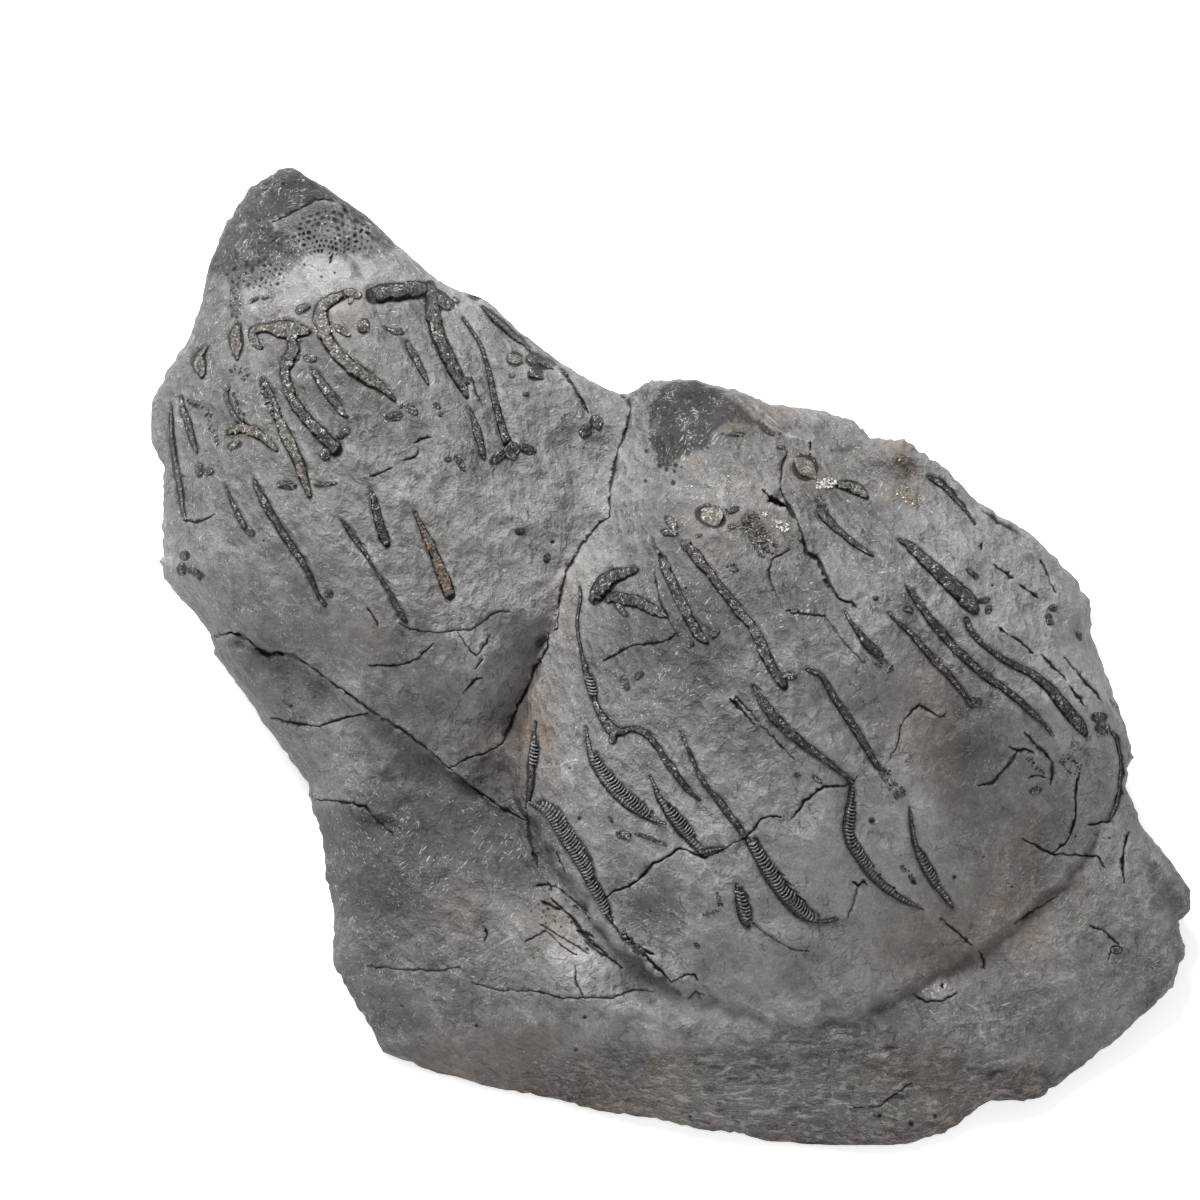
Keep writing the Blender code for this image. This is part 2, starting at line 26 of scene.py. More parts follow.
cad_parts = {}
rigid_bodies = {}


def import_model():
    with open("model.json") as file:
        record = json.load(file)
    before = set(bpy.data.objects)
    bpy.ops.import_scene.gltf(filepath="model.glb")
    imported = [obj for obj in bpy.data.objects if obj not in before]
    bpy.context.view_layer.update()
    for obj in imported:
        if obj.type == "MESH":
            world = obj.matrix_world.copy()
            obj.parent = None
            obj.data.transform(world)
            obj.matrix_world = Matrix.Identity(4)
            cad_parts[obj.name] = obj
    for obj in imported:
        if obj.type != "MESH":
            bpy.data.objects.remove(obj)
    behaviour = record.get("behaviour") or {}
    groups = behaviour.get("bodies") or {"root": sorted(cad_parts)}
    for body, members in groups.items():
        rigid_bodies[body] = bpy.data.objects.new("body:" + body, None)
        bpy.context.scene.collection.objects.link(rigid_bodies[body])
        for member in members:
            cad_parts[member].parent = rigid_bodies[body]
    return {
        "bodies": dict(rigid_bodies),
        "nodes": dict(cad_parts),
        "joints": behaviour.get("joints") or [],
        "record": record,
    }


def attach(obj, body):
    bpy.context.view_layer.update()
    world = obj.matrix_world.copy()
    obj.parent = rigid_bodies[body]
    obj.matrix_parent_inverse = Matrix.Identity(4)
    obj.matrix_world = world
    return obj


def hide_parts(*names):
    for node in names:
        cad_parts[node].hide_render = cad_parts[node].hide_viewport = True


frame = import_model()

log = logging.getLogger("crinoid_block")

MM = 0.001
BODY = "root"

FACE_LEAN = math.radians(20.0)
LEAN_SIN = math.sin(FACE_LEAN)
LEAN_COS = math.cos(FACE_LEAN)

# Middle of the base in the face's own frame: across, and depth on the ground.
BASE_MIDDLE = (0.25, 168.3888)
BLOCK_MIDDLE = (0.0, 140.0)

Flat = tuple[float, float]
Line = tuple[Flat, ...]
Course = tuple[tuple[float, float, float], ...]
Colour = tuple[float, float, float, float]
Array = np.ndarray
Mesh = bmesh.types.BMesh
Material = bpy.types.Material
Socket = bpy.types.NodeSocket

# Rim of the face, clockwise from the tip of the left crown:
# across, up, height above the ground.
RIM = (
    (-128.5, 326.5, 100), (-134, 324.5, 97), (-140, 320, 92), (-146, 311.5, 87), (-150.5, 302.5, 83),
    (-154.5, 291, 79), (-156.5, 281.5, 76), (-160, 270, 72), (-168.5, 256.5, 65), (-173.5, 247.5, 60),
    (-174, 235.5, 55), (-169, 226.5, 58), (-169, 215, 55), (-169.5, 205, 51), (-169, 196.5, 48),
    (-170.5, 194.5, 46), (-168.5, 188.5, 45), (-164, 182.5, 44), (-157.5, 176.5, 45), (-152.5, 169, 46),
    (-151.5, 163.5, 43), (-143.5, 152.5, 38), (-130, 133.5, 32), (-120.5, 120.5, 27), (-119.5, 112.5, 24),
    (-115.5, 103, 20), (-114.5, 88.5, 16), (-112, 80, 13), (-112, 60, 8), (-106.5, 50, 5), (-100, 40, 4),
    (-95.5, 31, 3), (-80, 25, 2), (-56.5, 19, 2), (-36.5, 15.5, 2), (-23.5, 11.5, 2), (-6.5, 9.5, 2),
    (10, 5.5, 2), (21.5, 4.5, 2), (33.5, 1.5, 2), (60, -0.5, 2), (78.5, 0.5, 2), (91.5, 4.5, 3),
    (102.5, 12.5, 5), (105, 15, 8), (121.5, 15, 6), (135, 24.5, 6), (146.5, 33.5, 8), (160, 45.5, 10),
    (167.5, 52.5, 12), (172, 65, 14), (169.5, 74.5, 17), (174.5, 79, 15), (173.5, 85, 18),
    (166.5, 95, 24), (157.5, 106, 30), (152.5, 118.5, 36), (152, 125.5, 39), (154.5, 129, 40),
    (150.5, 143.5, 46), (146.5, 153.5, 52), (140.5, 168.5, 58), (139.5, 181.5, 64), (133.5, 190, 68),
    (124, 199.5, 74), (120, 204, 76), (110, 209, 82), (100, 216, 86), (91.5, 225, 92), (81.5, 231.5, 97),
    (77.5, 234.5, 99), (66.5, 235.5, 92), (60, 241.5, 84), (50, 244.5, 84), (33.5, 246.5, 92),
    (23.5, 250.5, 100), (6.5, 254.5, 104), (-6, 254.5, 98), (-14, 249.5, 84), (-23.5, 252.5, 86),
    (-36.5, 260.5, 88), (-50, 271, 90), (-60.5, 281, 94), (-75, 286.5, 96), (-80, 290.5, 98),
    (-91.5, 300.5, 98), (-100, 309, 100), (-113.5, 318.5, 102), (-123.5, 325, 103),
)

# Height points of the face: across, up, lift.
HEIGHTS = (
    (-123, 313, 2), (-113, 300, 12), (-130, 290, 10), (-100, 290, 18), (-113, 275, 30), (-140, 262, 20),
    (-113, 250, 40), (-113, 228, 45), (-145, 225, 25), (-85, 262, 30), (-75, 235, 38), (-62, 262, 20),
    (-46, 240, 22), (-120, 200, 40), (-90, 200, 44), (-60, 210, 34), (-150, 195, 15), (-123, 174, 26),
    (-95, 172, 36), (-70, 182, 37), (-45, 208, 27), (-58, 165, 30), (-75, 150, 26), (-100, 150, 22),
    (10, 246, 30), (17, 235, 40), (35, 235, 30), (-5, 238, 26), (-5, 215, 40), (17, 215, 50),
    (45, 220, 36), (60, 225, 20), (78, 222, 24), (-14, 198, 38), (-23, 175, 40), (10, 190, 60),
    (43, 195, 52), (75, 200, 40), (95, 200, 34), (115, 190, 24), (-33, 150, 38), (-7, 148, 58),
    (20, 165, 66), (43, 165, 66), (75, 170, 52), (103, 178, 38), (127, 165, 26), (127, 145, 28),
    (100, 150, 40), (83, 145, 44), (60, 145, 56), (30, 130, 64), (0, 115, 56), (-30, 110, 46),
    (-42, 128, 33), (-40, 104, 34), (60, 115, 52), (85, 115, 40), (105, 120, 29), (130, 118, 14),
    (-20, 85, 44), (27, 98, 56), (60, 90, 44), (85, 92, 34), (43, 75, 44), (0, 70, 44), (-18, 228, 15),
    (-22, 208, 21), (-31, 195, 25), (-38, 180, 27), (-42, 165, 27), (-48, 150, 22), (-57, 138, 17),
    (-56, 122, 15), (-54, 104, 16), (-107, 115, 7), (-85, 125, 10), (-66, 122, 13), (-95, 85, 8),
    (-70, 95, 13), (-92, 58, 5), (-62, 62, 17), (-30, 60, 34), (0, 48, 36), (43, 52, 33), (80, 70, 24),
    (97, 58, 14), (125, 62, 12), (150, 70, 4), (145, 98, 6), (112, 95, 20), (60, 40, 30), (90, 38, 20),
    (20, 28, 28), (-30, 35, 22), (43, 28, 26), (122, 38, 8), (80, 15, 11), (43, 11, 9), (0, 20, 17),
    (-62, 37, 10),
)

LEDGE_LINE = (
    (-153, 169.5), (-140.5, 168), (-128, 164), (-119.5, 159), (-110, 151.5), (-100.5, 144.5),
    (-88.5, 138), (-73.5, 125.5),
)
CROWN_SIDE_LINE = (
    (-43, 160), (-47, 146), (-48.5, 134), (-49.5, 124), (-49.5, 114), (-45, 107), (-39, 99), (-32.5, 89),
    (-25.5, 77), (-17, 67), (-7, 60),
)
CROWN_FOOT_LINE = (
    (-7, 60), (6, 55), (21, 48), (35, 42.5), (50, 41.5), (63, 43.5), (77, 51.5), (91, 59), (103, 66),
    (116, 76), (130, 88), (138, 97),
)
SLAB_LEDGE_LINE = ((-119, 115), (-107, 112.5), (-99, 109.5))
SEAM_LINE = (
    (-13.5, 249), (-14, 241), (-17.5, 231), (-20, 217.5), (-20, 209.5), (-29, 200.5), (-35, 191),
    (-37, 180), (-40, 165), (-48, 150), (-53, 141),
)


def to_world(across: float, up: float, lift: float) -> Vector:
    """Turn a point of the face plane into the lying block, in metres.

    Args:
        across: distance to the right, in millimetres.
        up: distance toward the back edge, in millimetres.
        lift: distance out of the face, in millimetres.

    Returns:
        The point in the shared frame.
    """
    depth = up * LEAN_COS - lift * LEAN_SIN
    height = up * LEAN_SIN + lift * LEAN_COS
    return Vector((across - BASE_MIDDLE[0], depth - BASE_MIDDLE[1], height)) * MM


def to_way(across: float, up: float, lift: float) -> Vector:
    """Turn a direction of the face plane into the shared frame, in metres."""
    return to_world(across, up, lift) - to_world(0, 0, 0)


def left_of(along: Vector) -> Vector:
    """Direction to the left of a direction in the face plane."""
    return Vector((-along.y, along.x))


def clamp(values: Array) -> Array:
    """Limit values to 0 to 1."""
    return np.clip(values, 0.0, 1.0)


def bell(gap: Array, width: float) -> Array:
    """Bell curve over a gap: 1 in the middle."""
    return np.exp(-((gap / width) ** 2))


def oval(points: Array, across: float, up: float, wide: float, high: float) -> Array:
    """Square of the distance from the middle of an oval: 1 on its outline."""
    return ((points[:, 0] - across) / wide) ** 2 + ((points[:, 1] - up) / high) ** 2


def raise_to(values: Array, rows: Array, least: Array) -> None:
    """Raise some of the values to the given ones, where they are lower."""
    values[rows] = np.maximum(values[rows], least)


def rim_lift(up: Array, height: Array) -> Array:
    """Lift of rim points that stand at the given heights above the ground."""
    return (height - up * LEAN_SIN) / LEAN_COS


def leg_reach(points: Array, start: Array, along: Array) -> tuple[Array, Array]:
    """Distance of points to one leg of a line, and how far along it they are, from 0 to 1."""
    at = clamp((points - start) @ along / (along @ along))
    gap = points - (start + at[:, None] * along)
    return np.hypot(gap[:, 0], gap[:, 1]), at


def line_reach(points: Array, line: Line) -> tuple[Array, Array, Array]:
    """Measure points against an open line.

    Args:
        points: rows of (across, up).
        line: the corners of the line.

    Returns:
        The distance of each point, the side it lies on (+1 to the left of the
        line as it runs) and how far along the line it is, from 0 to 1.
    """
    spots = np.array([corner[:2] for corner in line], float)
    legs = np.hypot(*(spots[1:] - spots[:-1]).T)
    starts = np.concatenate([[0.0], np.cumsum(legs)])
    best = np.full(len(points), 1e9)
    side = np.zeros(len(points))
    share = np.zeros(len(points))
    for index, leg in enumerate(legs):
        a, along = spots[index], spots[index + 1] - spots[index]
        reach, at = leg_reach(points, a, along)
        closer = reach < best
        best[closer] = reach[closer]
        share[closer] = (starts[index] + at[closer] * leg) / starts[-1]
        cross = along[0] * (points[:, 1] - a[1]) - along[1] * (points[:, 0] - a[0])
        side[closer] = np.sign(cross[closer])
    return best, side, share


def near_line(points: Array, line: Line, margin: float) -> Array:
    """Indices of the points inside a line's own box, grown by a margin."""
    spots = np.array([corner[:2] for corner in line], float)
    low, high = spots.min(axis=0) - margin, spots.max(axis=0) + margin
    inside = np.all((points >= low) & (points <= high), axis=1)
    return np.nonzero(inside)[0]


def inside_shape(points: Array, shape: Line) -> Array:
    """Whether each point lies inside a closed shape."""
    inside = np.zeros(len(points), bool)
    for first, second in zip(shape, shape[1:] + shape[:1]):
        crosses = (first[1] > points[:, 1]) != (second[1] > points[:, 1])
        rise = second[1] - first[1] or 1e-9
        at = first[0] + (points[:, 1] - first[1]) / rise * (second[0] - first[0])
        inside ^= crosses & (points[:, 0] < at)
    return inside


def sway(points: Array, size: float, seed: float, octaves: int = 1) -> Array:
    """Smooth noise over the face, from about -1 to 1.

    Args:
        points: rows of (across, up), already stretched where the grain runs.
        size: size of one swell, in millimetres.
        seed: picks the pattern.
        octaves: how many finer swells are added.

    Returns:
        One value for each point.
    """
    if octaves == 1:
        return np.array([noise.noise(Vector((a / size, u / size, seed))) for a, u in points])
    return np.array([
        noise.fractal(Vector((a / size, u / size, seed)), 0.8, 2.1, octaves)
        for a, u in points
    ])


def drift(points: Array, size: float, seed: float, octaves: int = 1) -> Array:
    """Smooth noise in two directions, to bend rows of points with."""
    return np.column_stack([sway(points, size, seed + way, octaves) for way in (0.0, 1.0)])


def scoops(points: Array, size: float, seed: float) -> Array:
    """Hollow facets that meet in sharp crests.

    Args:
        points: rows of (across, up).
        size: width of one facet, in millimetres.
        seed: picks the pattern.

    Returns:
        Height of each point, from 0 in the middle of a facet to about 1 on a crest.
    """
    spots = points / size
    near = np.array([noise.voronoi(Vector((a, u, seed)))[0][0] for a, u in spots])
    return np.minimum((near / 0.62) ** 2, 1.4)


def smooth_line(line: Line, step: float) -> list[Vector]:
    """Even points along a smooth curve through the corners of a line.

    Args:
        line: the corners.
        step: distance between the points, in millimetres.

    Returns:
        The points, the first and last corner among them.
    """
    spots = [Vector(corner) for corner in line]
    spots = [2 * spots[0] - spots[1]] + spots + [2 * spots[-1] - spots[-2]]
    dense = [spots[1]]
    for a, b, c, d in zip(spots[:-3], spots[1:-2], spots[2:-1], spots[3:]):
        for index in range(1, 13):
            t = index / 12
            dense.append(0.5 * (2 * b + (c - a) * t + (2 * a - 5 * b + 4 * c - d) * t ** 2
                                + (3 * b - a - 3 * c + d) * t ** 3))
    legs = [(q - p).length for p, q in zip(dense[:-1], dense[1:])]
    total = sum(legs)
    count = max(3, round(total / step))
    even, leg, gone = [], 0, 0.0
    for index in range(count + 1):
        target = total * index / count
        while leg < len(legs) - 1 and gone + legs[leg] < target:
            gone += legs[leg]
            leg += 1
        share = min(1.0, (target - gone) / max(legs[leg], 1e-9))
        even.append(dense[leg].lerp(dense[leg + 1], share))
    return even


class Look(Enum):
    """Finish of an arm section."""

    DARK = "dark pyritized fossil"
    BROWN = "brown weathered fossil"
    RUST = "reddish brown fossil"
    COMBED = "arm with its pinnules spread to one side"
    SHELL = "pale shell fragment"


@dataclass(frozen=True)
class ArmSection:
    """One exposed section of a crinoid arm.

    Attributes:
        node: the solid that it stands for.
        course: corners of its centre line: across, up and full width.
        look: its finish.
        pitch: spacing of the joints between its ossicles, in millimetres.
        ribs: depth of the joints, in millimetres.
        raised: how high it stands, against a flat section.
    """

    node: str
    course: Course
    look: Look = Look.DARK
    pitch: float = 2.0
    ribs: float = 0.12
    raised: float = 1.0

    def edge_gap(self, points: Array) -> tuple[Array, Array, Array]:
        """Measure points against the outline of the section.

        Args:
            points: rows of (across, up).

        Returns:
            The indices of the points near the section, their distance to its
            edge (negative inside it) and the side they lie on.
        """
        path = tuple(tuple(spot) for spot in smooth_line(self.course, 1.5))
        rows = near_line(points, path, 7.0)
        reach, side, along = line_reach(points[rows], path)
        halves = [0.5 * spot[2] for spot in path]
        gap = reach - np.interp(along, np.linspace(0.0, 1.0, len(path)), halves)
        return rows, gap, side


LEFT_ARMS = (
    ArmSection("left_cup_plate_1", ((-144.2, 273.2, 2.5), (-144.8, 271, 4.8), (-144.8, 268, 5.4),
     (-144.4, 265.5, 4.6), (-144.3, 263.5, 2.6), (-144.4, 262, 0.8)), Look.BROWN, 2.6),
    ArmSection("left_cup_plate_2", ((-136, 265.8, 1.2), (-138, 267.3, 2.6), (-139.2, 269.5, 3),
     (-138.7, 271.7, 3.4), (-136, 272.3, 3.2), (-133, 272.4, 3.8), (-130, 272.1, 6), (-127, 271.8, 6.6),
     (-124, 271.5, 5.8), (-121.5, 271.2, 4), (-120.3, 271, 2.2)), Look.BROWN, 3),
    ArmSection("left_arm_1", ((-125.5, 270, 3.5), (-125.5, 267, 4), (-125.2, 264.5, 5), (-127, 261.5, 5),
     (-128, 258, 3.6), (-127.7, 255, 3.6), (-126, 249.5, 3.6), (-122.8, 244.5, 3.8), (-119.5, 240.5, 3.9),
     (-116, 237, 4), (-113, 234, 4.2), (-110.8, 231.6, 4.4)), raised=1.7),
    ArmSection("left_arm_2", ((-109, 283.2, 3.6), (-112.5, 281.7, 4), (-115.5, 279.3, 4.8),
     (-116.3, 276, 5.6), (-115.3, 272.5, 5), (-114.5, 269.5, 4.4), (-112.8, 266.3, 4.3),
     (-110.5, 263.3, 4.4), (-107.5, 260.5, 4.6), (-104, 257.7, 4.8), (-100.5, 255.4, 4.4),
     (-97, 253.2, 3.4), (-94, 250.8, 2.2), (-91.5, 248.2, 0.8)), Look.BROWN, 2.6, raised=1.8),
    ArmSection("left_arm_3", ((-118.8, 258.2, 1), (-117.2, 255.7, 2.8), (-114.5, 251.8, 3.2),
     (-111.5, 247.7, 3), (-109.2, 244.3, 2.2), (-107.3, 242.6, 0.5))),
    ArmSection("left_arm_4", ((-134.8, 254.5, 1.4), (-133, 250.5, 1.8), (-131.2, 246, 1.6),
     (-130.3, 242.5, 2.2), (-128.5, 238, 4), (-126.5, 234, 4.2), (-125, 231, 3.9), (-123.7, 228.3, 3.8),
     (-122.6, 225, 3.6), (-121.5, 221.5, 3.3), (-120.5, 218.5, 2.4), (-119.8, 216.3, 1.6)), Look.BROWN),
    ArmSection("left_arm_5", ((-166.8, 247.3, 0.5), (-166.7, 243, 1.6), (-166.6, 238, 1.8),
     (-166, 233, 2), (-165.2, 228, 2.2), (-164.6, 224.5, 2.2), (-163.8, 220, 2.2), (-163.2, 216.5, 2),
     (-162.8, 212, 1.4), (-161.6, 208.6, 0.6))),
    ArmSection("left_arm_6", ((-163.3, 249.5, 1), (-163, 246, 2.2), (-161.5, 242, 2.6),
     (-160.3, 238.5, 2.7), (-159, 234, 2.2), (-157.8, 230.8, 0.8))),
    ArmSection("left_leaf", ((-154.5, 266.5, 0.8), (-156.2, 264.5, 3), (-157.3, 262.5, 4.8),
     (-157.2, 260, 5.2), (-156.3, 258, 4.2), (-156.3, 256.3, 1.5)), Look.BROWN, 2.8),
    ArmSection("left_arm_7", ((-147, 252.5, 1), (-148, 250.3, 1.6), (-147.3, 247.5, 1.5),
     (-146, 244.5, 1.6), (-144.3, 242, 1.5), (-142, 240, 1.2))),
    ArmSection("left_branch", ((-147, 237.3, 2), (-143.5, 239, 3), (-139, 238, 3.2), (-136, 236.3, 3),
     (-133.3, 234, 2.2), (-130.8, 231.7, 1)), Look.BROWN),
    ArmSection("left_arm_8", ((-148.5, 220.4, 0.5), (-147.3, 217.5, 0.9), (-146, 214.8, 1.1),
     (-144.9, 212.3, 1.7), (-143.6, 209.5, 2), (-142.4, 207.3, 1.9), (-141.5, 205.8, 1.6))),
    ArmSection("left_arm_9", ((-138.4, 222, 0.8), (-137.6, 219.2, 2), (-135.4, 215, 2.7),
     (-133.4, 211.5, 2.6), (-131.3, 208, 2.6), (-128.8, 204, 2.7), (-126.6, 200.8, 2.6),
     (-124.4, 197.5, 2.3), (-122.4, 194.6, 1.8), (-120.4, 191, 1.8), (-119, 187.8, 1.5),
     (-117.8, 185, 1.1), (-116.5, 182.3, 1), (-114.6, 180, 0.7))),
    ArmSection("left_arm_10", ((-109, 208, 0.5), (-107, 205.3, 1.5), (-104.2, 201.5, 1.7),
     (-101.9, 198.3, 1.3), (-99.6, 194.5, 0.9), (-97.2, 190.5, 0.9), (-95.2, 187.5, 1.1),
     (-93, 183.8, 1.3), (-90.9, 179.5, 1.8), (-88.8, 176, 1.8), (-87.7, 174.7, 1))),
    ArmSection("left_arm_11", ((-99.7, 219, 0.6), (-98.7, 216, 1.9), (-97.9, 213, 2.6),
     (-97.2, 209.5, 2.9), (-96.2, 206, 3), (-95.3, 203.3, 3.4), (-94.5, 201.2, 3.2), (-94, 200.3, 2))),
    ArmSection("left_arm_12", ((-84.6, 210.6, 1.2), (-83, 207, 1.8), (-81.6, 204, 2.2),
     (-79.9, 200.5, 2.8), (-78.2, 196.5, 3.2), (-76.4, 192, 3.6), (-74.8, 187.8, 4), (-73.7, 184.8, 4.2),
     (-73.1, 183.4, 3.4)), Look.RUST, 1.5),
    ArmSection("left_arm_13", ((-98.4, 283.3, 6), (-95.5, 284, 6.4), (-91, 284.4, 6.4), (-87, 285, 5.8),
     (-84, 285.6, 5), (-82, 286, 3.4)), pitch=2.8, raised=1.8),
    ArmSection("left_arm_14", ((-79.8, 286.3, 3.2), (-79.3, 283, 4.8), (-79, 279, 5), (-78.6, 275, 5),
     (-77.5, 271, 5), (-76.8, 268.5, 5.2), (-74.6, 264, 5), (-73, 260.5, 4.8), (-71.5, 257.5, 4.4),
     (-70, 254.5, 4), (-68.7, 252, 3), (-67.6, 249.3, 1)), pitch=2.4, raised=1.7),
    ArmSection("left_arm_15", ((-69, 275.6, 0.8), (-66, 271.5, 1), (-63.3, 267, 1.2), (-62, 263.5, 1.4),
     (-60.8, 259.5, 1.6), (-59.6, 254.5, 2), (-58.8, 250, 2.2), (-57.8, 246, 2.4), (-56.8, 242, 2.6),
     (-55.6, 238, 2.9), (-54.3, 234.3, 3.2))),
    ArmSection("left_arm_16", ((-66.1, 244.8, 0.6), (-65.2, 241, 2), (-64, 237.5, 2.8), (-63, 233.5, 2.6),
     (-62.2, 230.5, 1.8), (-61.9, 228.9, 0.8))),
    ArmSection("left_arm_17", ((-87.5, 267.5, 1.6), (-86, 264.5, 2.4), (-84.3, 261.5, 2.4),
     (-82.6, 258, 2), (-81.3, 255.5, 1.4), (-80.4, 253.4, 0.5))),
    ArmSection("left_arm_18", ((-62.5, 279.3, 0.8), (-59, 275.9, 2.6), (-55.5, 272.9, 3),
     (-52, 269.5, 2.6), (-49.5, 267.8, 2), (-46.5, 265, 0.8))),
)

